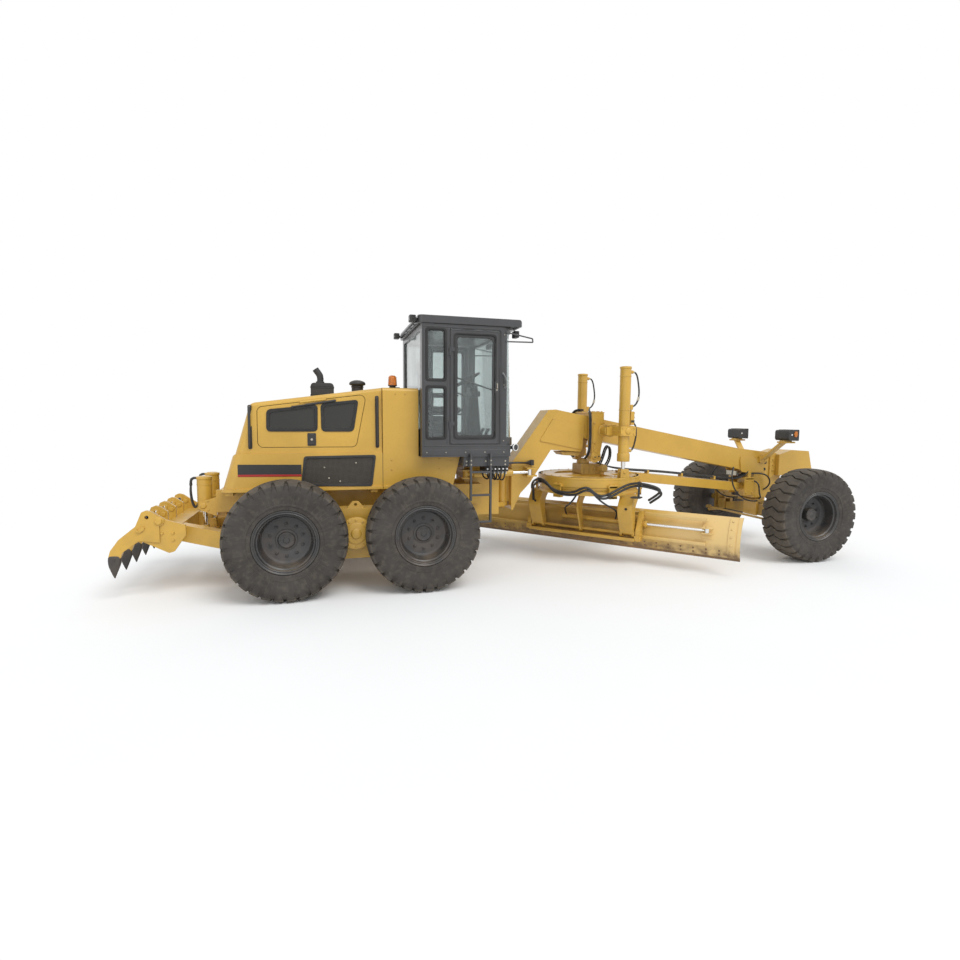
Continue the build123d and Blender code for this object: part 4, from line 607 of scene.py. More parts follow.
def hose(name, points, radius, body, finish="hose", far_body=None):
    """A smooth hose through given places. With far_body it is made into a fixed mesh that rides on neither
    body.
    """
    line = bpy.data.curves.new(name, "CURVE")
    line.dimensions = "3D"
    line.resolution_u = 8
    line.bevel_depth = radius
    line.bevel_resolution = 3
    line.use_fill_caps = True
    spline = line.splines.new("NURBS")
    spline.points.add(len(points) - 1)
    for target, point in zip(spline.points, points):
        target.co = (*point, 1)
    spline.order_u = 4
    spline.use_endpoint_u = True
    line.materials.append(FINISH[finish])
    thing = bpy.data.objects.new(name, line)
    bpy.context.scene.collection.objects.link(thing)
    if far_body is None:
        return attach(thing, body)
    bpy.context.view_layer.update()
    data = bpy.data.meshes.new_from_object(thing.evaluated_get(bpy.context.evaluated_depsgraph_get()))
    bpy.data.objects.remove(thing)
    mesh_thing = bpy.data.objects.new(name, data)
    bpy.context.scene.collection.objects.link(mesh_thing)
    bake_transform(mesh_thing)
    return mesh_thing


def surface_tree(*names):
    """The outer surface of some nodes, to seat pieces on."""
    shape = bmesh.new()
    for name in names:
        shape.from_mesh(NODES[name].data)
    return BVHTree.FromBMesh(shape)


def side_wall(tree, x, z0, z1, side=-1):
    """How far out a node's side surface is at each height, measured at two heights and joined by a line."""
    found = []
    for z in (z0, z1):
        hit = tree.ray_cast(at(x, side * 3, z), Vector((0, -side, 0)))[0]
        found.append(hit.y)
    slope = (found[1] - found[0]) / (z1 - z0)
    return lambda z: found[0] + slope * (z - z0)


# Stage and light


WORLD_LIGHT = 0.72
FLOOR_HALF = 40
FLOOR_FADE = (5.5, 11)
# Each sun: name, rotation about X, Y and Z in degrees, strength, softness in degrees
SUNS = [
    ("key", (38, 0, 28), 1.5, 35),
    ("fill", (62, 0, -35), 0.45, 60),
]


def make_stage():
    scene = bpy.context.scene
    scene.view_settings.view_transform = "Standard"
    world = bpy.data.worlds.new("studio")
    scene.world = world
    world.use_nodes = True
    tree = world.node_tree
    tree.nodes.clear()
    out = tree.nodes.new("ShaderNodeOutputWorld")
    pick = tree.nodes.new("ShaderNodeMixShader")
    soft = tree.nodes.new("ShaderNodeBackground")
    white = tree.nodes.new("ShaderNodeBackground")
    soft.inputs["Color"].default_value = (0.93, 0.96, 1.0, 1)
    soft.inputs["Strength"].default_value = WORLD_LIGHT
    path = tree.nodes.new("ShaderNodeLightPath")
    seen = tree.nodes.new("ShaderNodeMath")
    seen.operation = "MAXIMUM"
    more = tree.nodes.new("ShaderNodeMath")
    more.operation = "MAXIMUM"
    link = tree.links.new
    link(path.outputs["Is Camera Ray"], seen.inputs[0])
    link(path.outputs["Is Glossy Ray"], seen.inputs[1])
    link(seen.outputs[0], more.inputs[0])
    link(path.outputs["Is Transmission Ray"], more.inputs[1])
    link(more.outputs[0], pick.inputs[0])
    link(soft.outputs[0], pick.inputs[1])
    link(white.outputs[0], pick.inputs[2])
    link(pick.outputs[0], out.inputs["Surface"])
    white.inputs["Color"].default_value = (1, 1, 1, 1)
    white.inputs["Strength"].default_value = 1.0
    make_floor()
    for name, turn, strength, spread in SUNS:
        data = bpy.data.lights.new(name, "SUN")
        data.energy = strength
        data.angle = radians(spread)
        lamp = bpy.data.objects.new(name, data)
        lamp.rotation_euler = [radians(a) for a in turn]
        scene.collection.objects.link(lamp)


def make_floor():
    """A pale floor that keeps the shadow and fades into the white background."""
    half = FLOOR_HALF
    data = bpy.data.meshes.new("floor")
    data.from_pydata(
        [(-half, -half, 0), (half, -half, 0), (half, half, 0), (-half, half, 0)], [], [(0, 1, 2, 3)]
    )
    floor = bpy.data.objects.new("floor", data)
    floor.location = (0, 0, -0.001)
    bpy.context.scene.collection.objects.link(floor)
    m = Material("floor_finish")
    m.join(m.mix(m.noise(0.8), (0.90, 0.90, 0.89), (0.93, 0.93, 0.92)), m.shader.inputs["Base Color"])
    m.set(Roughness=0.9)
    length = m.node("ShaderNodeVectorMath", operation="LENGTH")
    m.join(m.place, length.inputs[0])
    fade = m.span(length.outputs["Value"], FLOOR_FADE[0], FLOOR_FADE[1])
    clear_shader = m.node("ShaderNodeBsdfTransparent")
    blend = m.node("ShaderNodeMixShader")
    m.join(fade, blend.inputs[0])
    m.join(m.shader.outputs[0], blend.inputs[1])
    m.join(clear_shader.outputs[0], blend.inputs[2])
    m.join(blend.outputs[0], m.output.inputs["Surface"])
    data.materials.append(m.material)


# CAD nodes: finishes and soft edges

NODE_FINISH = {
    "black": [
        "cab_frame", "cab_roof", "cab_door_left", "cab_door_right", "ladders", "exhaust_intake", "work_lamps",
        "engine_block",
    ],
    "screen": ["hood_grilles"],
    "glass": ["cab_glass", "cab_door_glass_left", "cab_door_glass_right"],
    "brown": ["cutting_edge"],
    "tooth": ["ripper_teeth"],
    "soiled": [
        "front_axle", "tie_rod", "tie_rod_end_left", "tie_rod_end_right", "lean_bar", "knuckle_left",
        "knuckle_right", "lean_yoke_left", "lean_yoke_right", "rear_axle",
    ],
    "chrome": [
        "side_shift_rod", "lift_rods", "articulation_rod_left", "articulation_rod_right", "ripper_rods",
    ],
    "vinyl": ["cab_interior"],
}


def dress_nodes():
    chosen = {name: finish for finish, names in NODE_FINISH.items() for name in names}
    for name, node in NODES.items():
        finish = chosen.get(name, "yellow")
        if name.startswith("tyre_"):
            finish = "rubber"
        if name.startswith("rim_"):
            finish = "rim"
        node.data.materials.clear()
        node.data.materials.append(FINISH[finish])


# Wheels

LUGS = 30
TYRE_R = 0.674
LUG_BEVEL = 0.004
TREAD_R = 0.625
CENTRE_LEAD = 0.058
WHEEL_NAMES = [f"{end}_{side}" for end in ("rear", "mid", "front") for side in ("right", "left")]

# Half of the tyre's section from the crown out and down to the bead. Columns: half width and radius over a
# lug, half width and radius between lugs, how far the lug leads here, the groove's share of the pitch
TYRE_SECTION = [
    (0.000, 0.6740, 0.000, 0.648, 0.058, 0.17),
    (0.055, 0.6730, 0.055, 0.647, 0.028, 0.17),
    (0.105, 0.6700, 0.105, 0.644, 0.000, 0.18),
    (0.150, 0.6640, 0.149, 0.638, 0.004, 0.22),
    (0.185, 0.6560, 0.180, 0.630, 0.008, 0.30),
    (0.203, 0.6470, 0.196, 0.620, 0.010, 0.34),
    (0.213, 0.6300, 0.204, 0.606, 0.010, 0.38),
    (0.2190, 0.600, 0.211, 0.590, 0.010, 0.42),
    (0.2215, 0.572, 0.2185, 0.570, 0.010, 0.46),
    (0.2220, 0.545, 0.2220, 0.545, 0.010, 0.46),
    (0.2205, 0.505, 0.2205, 0.505, 0.010, 0.46),
    (0.2190, 0.500, 0.2190, 0.500, 0.010, 0.46),
    (0.2150, 0.462, 0.2150, 0.462, 0.010, 0.46),
    (0.2085, 0.430, 0.2085, 0.430, 0.010, 0.46),
    (0.2115, 0.424, 0.2115, 0.424, 0.010, 0.46),
    (0.2095, 0.408, 0.2095, 0.408, 0.010, 0.46),
    (0.2020, 0.402, 0.2020, 0.402, 0.010, 0.46),
    (0.1990, 0.380, 0.1990, 0.380, 0.010, 0.46),
    (0.1930, 0.362, 0.1930, 0.362, 0.010, 0.46),
    (0.1780, 0.356, 0.1780, 0.356, 0.010, 0.46),
    (0.1780, 0.322, 0.1780, 0.322, 0.010, 0.46),
]


def tyre_ring(row, side):
    """The points round the tyre at one row of its section: five to a pitch, the groove's bottom first."""
    wide, high, wide_low, low, lead, groove = row
    step = 2 * pi / LUGS
    draft = 0.035 if high > low else 0.0
    columns = [
        (-groove / 2 + draft, False), (groove / 2 - draft, False), (groove / 2, True), (0.5, True),
        (1 - groove / 2, True),
    ]
    points = []
    for index in range(LUGS):
        for share, top in columns:
            angle = (index + share - 0.5) * step + pi + (lead - CENTRE_LEAD) / TYRE_R
            radius = high if top else low
            width = wide if top else wide_low
            points.append(Vector((radius * sin(angle), side * width, radius * cos(angle))))
    return points


def make_tyres():
    rows = [(row, -1) for row in reversed(TYRE_SECTION[1:])] + [(row, 1) for row in TYRE_SECTION]
    rings = [tyre_ring(row, side) for row, side in rows]
    count = len(rings[0])
    faces = []
    for ring in range(len(rings)):
        for index in range(count):
            other = (index + 1) % count
            a = ring * count
            b = (ring + 1) % len(rings) * count
            faces.append((a + index, a + other, b + other, b + index))
    points = [point for ring in rings for point in ring]
    for name in WHEEL_NAMES:
        low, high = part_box("tyre_" + name)
        centre = (low + high) / 2
        shape = Shape()
        shape.add([point + centre for point in points], faces)
        tread = shape.piece(
            "tread_" + name, "rubber", "wheel_" + name, bevel=LUG_BEVEL, segments=1, smooth=30
        )
        tread.data.materials.append(FINISH["tread"])
        for face in tread.data.polygons:
            arm = face.center - centre
            face.material_index = int(Vector((arm.x, 0, arm.z)).length > TREAD_R)
        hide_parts("tyre_" + name)


RIM_LIP_R = 0.352
RIM_FACE = 0.192
DISC_DEPTH = 0.175
FRONT_DISC_DEPTH = 0.225
NUTS = 10
NUT_CIRCLE_R = 0.178
HUB_BOLTS = 6
HUB_BOLT_R = 0.076
BARREL_RINGS = 5
BARREL_R = 0.302


def make_rims():
    """Each rim: rolled lip, lock ring, tapered barrel, dished disc, nuts and hub."""
    for name in WHEEL_NAMES:
        low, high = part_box("tyre_" + name)
        centre = (low + high) / 2
        side = 1 if centre.y > 0 else -1
        front = name.startswith("front")
        disc = RIM_FACE - (FRONT_DISC_DEPTH if front else DISC_DEPTH)
        out = Vector((0, side, 0))
        shape = Shape()
        profile = [
            (0.340, 0.1795), (RIM_LIP_R, 0.1795), (0.357, 0.184), (0.357, 0.191), (RIM_LIP_R, 0.196),
            (0.345, 0.196), (0.338, 0.190), (0.333, 0.1865), (0.329, 0.190), (0.322, 0.192), (0.316, 0.188),
            (0.313, 0.178), (0.306, 0.160), (0.292, 0.150), (0.288, 0.140), (0.284, disc + 0.045),
            (0.276, disc + 0.03), (0.262, disc + 0.012), (0.244, disc + 0.004), (0.236, disc), (0.128, disc),
            (0.120, disc - 0.004), (0.118, disc - 0.02), (0.270, disc - 0.02), (0.302, 0.10), (0.304, -0.10),
            (0.322, -0.14), (0.340, -0.1795), (0.340, -0.16), (0.318, -0.13), (0.318, 0.15),
        ]
        shape.turned(profile, centre, out, steps=72)
        hub = disc + (0.095 if front else 0.022)
        shape.turned([
            (0.0, hub), (0.030, hub), (0.036, hub - 0.006), (0.066, hub - 0.006), (0.074, hub - 0.002),
            (0.086, hub - 0.004), (0.092, hub - 0.012), (0.096, disc + 0.004), (0.119, disc),
            (0.119, disc - 0.018), (0.0, disc - 0.018),
        ], centre, out, steps=48)
        for index in range(NUTS):
            angle = 2 * pi * index / NUTS
            arm = Vector((sin(angle), 0, cos(angle)))
            shape.bolt(centre + arm * NUT_CIRCLE_R + out * disc, out, 0.015)
            shape.rod(
                centre + arm * NUT_CIRCLE_R + out * disc, centre + arm * NUT_CIRCLE_R + out * (disc + 0.026),
                0.007, sides=10
            )
        for index in range(HUB_BOLTS):
            angle = 2 * pi * (index + 0.5) / HUB_BOLTS
            arm = Vector((sin(angle), 0, cos(angle)))
            shape.bolt(centre + arm * HUB_BOLT_R + out * (hub - 0.005), out, 0.007)
        valve = centre + out * 0.13
        shape.rod(valve + Vector((0.285, 0, 0)), valve + Vector((0.262, 0, 0)) + out * 0.03, 0.005, sides=8)
        for ring in range(BARREL_RINGS):
            radius = BARREL_R - ring * 0.0001
            along = -0.12 + ring * 0.04
            shape.turned(
                [(radius, along), (radius, along + 0.006), (radius - 0.004, along + 0.003)], centre, out, 48
            )
        piece = shape.piece("wheel_centre_" + name, "rim", "wheel_" + name, smooth=28)
        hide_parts("rim_" + name)


# Hood and tank

SHELL = ("hood_shell", "hood_door_right", "tank_box")
WINDOWS = [
    [(-0.975, 1.888), (-0.440, 1.888), (-0.434, 2.170), (-0.971, 2.105)],
    [(-0.358, 1.888), (-0.020, 1.888), (0.042, 2.236), (-0.364, 2.182)],
]


def grown(points, size):
    """An outline moved out by size at every corner."""
    middle = Vector((sum(p[0] for p in points) / len(points), sum(p[1] for p in points) / len(points)))
    out = []
    for point in points:
        away = Vector(point) - middle
        out.append((point[0] + (size if away.x > 0 else -size), point[1] + (size if away.y > 0 else -size)))
    return out


UPPER_SAMPLE_X = -1.03


def hood_details():
    tree = surface_tree(*SHELL)
    upper = side_wall(tree, UPPER_SAMPLE_X, 1.75, 2.05)
    for side, name in SIDES:
        body = f"hood_door_{name}_body"
        seals = Shape()
        panes = Shape()
        for outline in WINDOWS:
            outer = rounded(grown(outline, 0.020), 0.055)
            inner = rounded(grown(outline, -0.014), 0.040)
            seals.ring(outer, inner, -0.010, 0.020, upper)
            panes.plate(rounded(grown(outline, -0.008), 0.040), 0.006, 0.012, upper)
        latch = Shape()
        latch.plate(upright(-0.538, -0.440, 1.70, 1.850, 0.012), -0.008, 0.004, upper)
        latch.plate(upright(-0.520, -0.458, 1.715, 1.835, 0.01), -0.014, -0.007, upper)
        knob = Shape()
        knob.rod(at(-0.489, upper(1.775) - 0.006, 1.775), at(-0.489, upper(1.775) - 0.026, 1.775), 0.014)
        strut = Shape()
        y0 = upper(2.2) - 0.014
        strut.rod(at(-0.700, y0, 2.158), at(-0.215, y0 + 0.002, 2.238), 0.0095, sides=12)
        strut.rod(at(-0.560, y0, 2.181), at(-0.215, y0 + 0.002, 2.238), 0.014, sides=12)
        for x, z in ((-0.700, 2.158), (-0.215, 2.238)):
            strut.rod(at(x, y0 + 0.02, z), at(x, y0 - 0.012, z), 0.013, sides=12)
        for shape, label, finish, bevel in (
            (seals, "hood_window_seals", "seal", 0.003), (panes, "hood_window_panes", "dark_glass", 0),
            (latch, "hood_latch", "trim", 0.002), (knob, "hood_latch_knob", "zinc", 0.001),
            (strut, "hood_prop", "trim", 0),
        ):
            if side > 0:
                shape.move(Matrix.Scale(-1, 4, (0, 1, 0)))
            shape.piece(f"{label}_{name}", finish, body, bevel)
    hood_body_details(tree, upper)


def hood_body_details(tree, upper):
    lower = side_wall(tree, -0.9, 1.30, 1.45)
    handles = Shape()
    for x, z0, z1 in ((-1.172, 1.685, 2.155), (0.280, 1.690, 2.285)):
        wall = side_wall(tree, x, 1.75, 2.05)
        foot = 0.03
        line = [
            at(x, wall(z0) + 0.004, z0), at(x, wall(z0) - 0.028, z0 + 0.012),
            at(x, wall(z0 + foot) - 0.034, z0 + foot), at(x, wall(z1 - foot) - 0.034, z1 - foot),
            at(x, wall(z1) - 0.028, z1 - 0.012), at(x, wall(z1) + 0.004, z1),
        ]
        handles.pipe(line, 0.013)
        handles.plate(upright(x - 0.022, x + 0.022, z0 - 0.02, z1 + 0.02, 0.02),
                      -0.004, 0.003, wall)
    handles.both_sides().piece("hood_handles", "trim", "rear_body", 0.001)
    frame_ring = Shape()
    vent = [(-0.610, 1.232), (0.200, 1.212), (0.250, 1.575), (-0.570, 1.565)]
    frame_ring.ring(
        rounded(grown(vent, 0.012), 0.035), rounded(grown(vent, -0.016), 0.03), -0.010, 0.006, lower
    )
    frame_ring.both_sides().piece("vent_frames", "trim", "rear_body", 0.003)
    screws = Shape()
    for x, z in ((-0.35, 1.44), (-0.30, 1.31), (0.02, 1.49), (-0.17, 1.27)):
        screws.bolt(at(x, lower(z) + 0.004, z), (0, -1, 0), 0.007)
    screws.both_sides().piece("vent_screws", "zinc", "rear_body")
    banner = Shape()
    banner.plate([(-1.312, 1.345), (-0.612, 1.336), (-0.612, 1.478), (-1.312, 1.488)], -0.002, 0.001, lower)
    banner.both_sides().piece("side_banner", "trim", "rear_body")
    stripe = Shape()
    stripe.plate([(-1.312, 1.347), (-0.612, 1.338), (-0.612, 1.362), (-1.312, 1.371)], -0.0035, -0.001, lower)
    stripe.both_sides().piece("banner_stripe", "red", "rear_body")
    seams = Shape()
    seams.box(0.3405, 0.3445, -0.6605, -0.64, 1.20, 1.60)
    seams.both_sides().piece("panel_seams", "trim", "rear_body")
    rivets = Shape()
    for x, z in ((0.45, 1.52), (0.45, 1.40), (1.05, 1.52), (1.05, 1.40), (1.20, 1.50)):
        rivets.bolt(at(x, -0.66, z), (0, -1, 0), 0.009)
    for x in (0.50, 0.62):
        rivets.bolt(at(x, -0.66, 2.33), (0, -1, 0), 0.007)
    rivets.both_sides().piece("tank_bolts", "yellow", "rear_body")
    cap = Shape()
    cap.turned(
        [(0.0, 0.05), (0.052, 0.05), (0.06, 0.042), (0.06, 0.02), (0.07, 0.012), (0.07, 0.0), (0.0, 0.0)],
        at(0.62, 0.30, 2.405), (0, 0, 1)
    )
    cap.box(0.56, 0.68, 0.29, 0.31, 2.45, 2.465)
    cap.piece("tank_cap", "trim", "rear_body", 0.002)
    step = Shape()
    for x in (0.93, 1.15):
        step.box(x - 0.10, x + 0.10, -0.64, -0.42, 1.558, 1.566)
        for index in range(8):
            step.box(x - 0.09, x + 0.09, -0.63 + index * 0.026, -0.622 + index * 0.026, 1.564, 1.570)
    step.both_sides().piece("step_pads", "trim", "rear_body", 0.001)


def roof_items():
    shape = Shape()
    y = -0.2
    pipe = [
        at(-0.385, y, 2.44), at(-0.380, y, 2.52), at(-0.386, y, 2.560), at(-0.404, y, 2.590),
        at(-0.425, y, 2.618), at(-0.440, y, 2.640),
    ]
    shape.pipe(pipe, 0.040, 20)
    shape.turned([(0.044, 0.0), (0.052, 0.0), (0.052, 0.02), (0.044, 0.02)], at(-0.384, y, 2.466), (0, 0, 1))
    muffler = [(-0.498, 2.21), (-0.22, 2.25), (-0.22, 2.465), (-0.498, 2.465)]
    shape.plate(rounded(muffler, 0.05), y - 0.112, y + 0.112)
    shape.turned([
        (0.075, 2.30), (0.075, 2.432), (0.082, 2.436), (0.082, 2.446), (0.075, 2.450), (0.075, 2.458),
        (0.098, 2.464), (0.105, 2.471), (0.105, 2.486), (0.100, 2.497), (0.085, 2.510), (0.060, 2.520),
        (0.040, 2.526), (0.0, 2.530), (0.0, 2.30),
    ], at(0.085, 0, 0), (0, 0, 1))
    for z in (2.30, 2.40):
        shape.ring([(-0.502, z), (-0.216, z), (-0.216, z + 0.02), (-0.502, z + 0.02)],
                   [(-0.490, z), (-0.228, z), (-0.228, z + 0.02), (-0.490, z + 0.02)], y - 0.116, y + 0.116)
    piece = shape.piece("muffler_and_intake", "trim", "rear_body", 0.003)
    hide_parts("exhaust_intake")


# Lamps

LAMP_X = 6.550
LAMP_Y = 0.530


def headlamps():
    """Black housings with a lens ahead and an amber marker on the outer side, on flat yellow stalks."""
    housing = Shape()
    side_view = rounded(
        [(6.458, 1.762), (6.480, 1.737), (6.640, 1.737), (6.640, 1.903), (6.472, 1.896), (6.458, 1.872)], 0.02
    )
    housing.plate(side_view, LAMP_Y - 0.138, LAMP_Y + 0.138)
    hood = upright(6.600, 6.644, 1.735, 1.905, 0.012)
    housing.ring(
        hood, [((x - 6.622) * 0.86 + 6.626, (z - 1.82) * 0.9 + 1.82) for x, z in hood], LAMP_Y - 0.1395,
        LAMP_Y + 0.1395
    )
    for index in range(5):
        x = 6.488 + index * 0.016
        housing.box(x, x + 0.005, LAMP_Y - 0.10, LAMP_Y + 0.10, 1.892, 1.9045)
    housing.both_sides()
    piece = housing.piece("headlamp_housings", "trim", "front_body", 0.006)
    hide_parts("headlamps")
    lens = Shape()
    for y in (LAMP_Y - 0.062, LAMP_Y + 0.072):
        lens.turned(
            [(0.0, 0.012), (0.030, 0.010), (0.048, 0.004), (0.056, -0.006), (0.0, -0.006)],
            at(6.632, y, 1.82), (1, 0, 0), 32
        )
    lens.both_sides().piece("headlamp_lenses", "lens", "front_body", smooth=60)
    amber = Shape()
    marker = [(6.546, 1.835), (6.560, 1.793), (6.598, 1.790), (6.613, 1.835), (6.600, 1.880), (6.560, 1.878)]
    amber.plate(rounded(marker, 0.012), LAMP_Y + 0.134, LAMP_Y + 0.1495)
    amber.both_sides().piece("headlamp_markers", "amber", "front_body", 0.004)
    # pale studs on each lamp's sides, painted pale as a painted glint where light catches them
    glint_studs = Shape()
    for y, out in ((LAMP_Y + 0.137, 1), (LAMP_Y - 0.137, -1)):
        glint_studs.turned(
            [(0.0, 0.008), (0.010, 0.006), (0.014, 0.0), (0.0, -0.002)], at(6.512, y, 1.824), (0, out, 0), 20
        )
    glint_studs.both_sides().piece("headlamp_glint_studs", "white", "front_body")
    stalk = Shape()
    stalk.plate(upright(6.450, 6.636, 1.696, 1.720, 0.008), LAMP_Y - 0.085, LAMP_Y + 0.085)
    stalk.plate(upright(6.465, 6.60, 1.714, 1.7365, 0.006), LAMP_Y - 0.055, LAMP_Y + 0.055)
    low = at(6.430, 0.195, 1.420)
    high = at(6.515, LAMP_Y - 0.02, 1.708)
    along = (high - low).normalized()
    across = Vector((1, 0, 0)) - along * along.x
    across.normalize()
    thick = along.cross(across)
    rings = []
    for end in (low, high):
        rings.append([end + across * a + thick * b for a, b in (
            (-0.048, -0.016), (0.048, -0.016), (0.048, 0.016), (-0.048, 0.016),
        )])
    stalk.prism(*rings)
    stalk.plate(upright(6.366, 6.482, 1.366, 1.480, 0.022), 0.1723, 0.212)
    for x, z in ((6.395, 1.398), (6.453, 1.398), (6.395, 1.449)):
        stalk.bolt(at(x, 0.212, z), (0, 1, 0), 0.010)
    for x in (6.49, 6.59):
        stalk.bolt(at(x, LAMP_Y + 0.06, 1.701), (0, 0, -1), 0.008)
    stalk.both_sides().piece("headlamp_stalks", "yellow", "front_body", 0.003)


# Each kind of roof lamp: rear face, front face, distance from the middle, bottom, top, which way it shines
ROOF_LAMPS = [
    (0.660, 0.735, 0.75, 3.190, 3.268, -1),
    (2.035, 2.100, 0.60, 3.080, 3.165, 1),
]


def work_lamps():
    body = Shape()
    lens = Shape()
    for x0, x1, y, z0, z1, way in ROOF_LAMPS:
        middle = (z0 + z1) / 2
        face = x1 if way > 0 else x0
        back = x0 if way > 0 else x1
        body.plate(rounded(
            [(min(face, back), z0), (max(face, back), z0), (max(face, back), z1), (min(face, back), z1)],
            0.012
        ), y - 0.052, y + 0.052)
        for index in range(4):
            x = back + way * (0.010 + index * 0.010)
            body.box(min(x, x + 0.004), max(x, x + 0.004), y - 0.055, y + 0.055, z0 + 0.006, z1 - 0.006)
        lens.turned([(0.0, 0.004), (0.022, 0.003), (0.033, 0.0), (0.033, -0.006), (0.0, -0.006)],
                    at(face - way * 0.002, y, middle), (way, 0, 0), 28)
        body.turned(
            [(0.034, -0.004), (0.0405, -0.004), (0.0405, 0.0), (0.034, 0.0)], at(face, y, middle),
            (way, 0, 0), 28
        )
    body.box(0.716, 0.7597, 0.736, 0.764, 3.205, 3.240)
    body.box(2.044, 2.052, 0.586, 0.614, 3.160, 3.1795)
    for x, z in ((0.7, 3.19), (2.07, 3.165)):
        y = 0.75 if x < 1 else 0.60
        body.bolt(at(x, y + 0.054, (3.229 if x < 1 else 3.12)), (0, 1, 0), 0.008)
    body.both_sides()
    piece = body.piece("roof_lamp_housings", "trim", "rear_body", 0.002)
    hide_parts("work_lamps")
    lens.both_sides().piece("roof_lamp_lenses", "lens", "rear_body", smooth=60)
    round_body = Shape()
    highlight_rims = Shape()
    glass = Shape()
    spot = at(1.997, 0.825, 1.675)
    axis = Vector((0.45, 0.89, 0)).normalized()
    round_body.turned(
        [(0.0, -0.024), (0.030, -0.024), (0.044, -0.012), (0.0465, 0.014), (0.040, 0.020), (0.0, 0.018)],
        spot, axis, 36
    )
    round_body.box(1.9405, 1.975, 0.795, 0.813, 1.650, 1.695)
    # the side lamps' rims are painted pale all round, a painted highlight
    highlight_rims.turned(
        [(0.041, 0.012), (0.0478, 0.008), (0.0478, 0.020), (0.041, 0.024), (0.037, 0.021)], spot, axis, 36
    )
    glass.turned([(0.0, 0.026), (0.020, 0.025), (0.039, 0.018), (0.0, 0.016)], spot, axis, 36)
    round_body.both_sides().piece("side_lamp_bodies", "trim", "rear_body", 0.001)
    highlight_rims.both_sides().piece("side_lamp_highlight_rims", "white", "rear_body", smooth=60)
    glass.both_sides().piece("side_lamp_lenses", "frit", "rear_body", smooth=60)
    bar = Shape()
    bar.pipe(
        [at(0.752, -0.70, 3.203), at(0.735, -0.66, 3.203), at(0.735, 0.66, 3.203), at(0.752, 0.70, 3.203)],
        0.011
    )
    for y in (-0.45, -0.15, 0.15, 0.45):
        bar.rod(at(0.735, y, 3.203), at(0.763, y, 3.215), 0.006, sides=10)
    bar.piece("roof_rear_bar", "trim", "rear_body")


def beacon():
    """The amber beacon on the tank: foot, ribbed dome and cap."""
    spot = at(0.50, -0.38, 0)
    base = Shape()
    base.turned([
        (0.0, 2.4053), (0.060, 2.4053), (0.060, 2.416), (0.040, 2.422), (0.040, 2.438), (0.056, 2.441),
        (0.056, 2.450), (0.0, 2.450),
    ], spot, (0, 0, 1))
    base.piece("beacon_base", "trim", "rear_body", 0.001)
    dome = Shape()
    profile = [(0.0, 2.448), (0.0575, 2.450)]
    for index in range(7):
        z = 2.456 + index * 0.0125
        profile += [(0.0570 - index * 0.0006, z), (0.0535 - index * 0.0006, z + 0.006)]
    profile += [(0.0515, 2.548), (0.043, 2.562), (0.030, 2.571), (0.0, 2.577)]
    dome.turned(profile, spot, (0, 0, 1), steps=40)
    dome.piece("beacon_dome", "amber", "rear_body", smooth=60)


# Cab

DOOR = [(1.146, 1.715), (1.790, 1.715), (1.790, 3.125), (1.146, 3.125)]
DOOR_GLASS = [(1.207, 1.791), (1.729, 1.791), (1.729, 3.064), (1.207, 3.064)]
CORNER_PANES = [
    [(0.860, 1.790), (1.090, 1.790), (1.090, 2.420), (0.860, 2.420)],
    [(0.860, 2.500), (1.090, 2.500), (1.090, 3.110), (0.860, 3.110)],
]


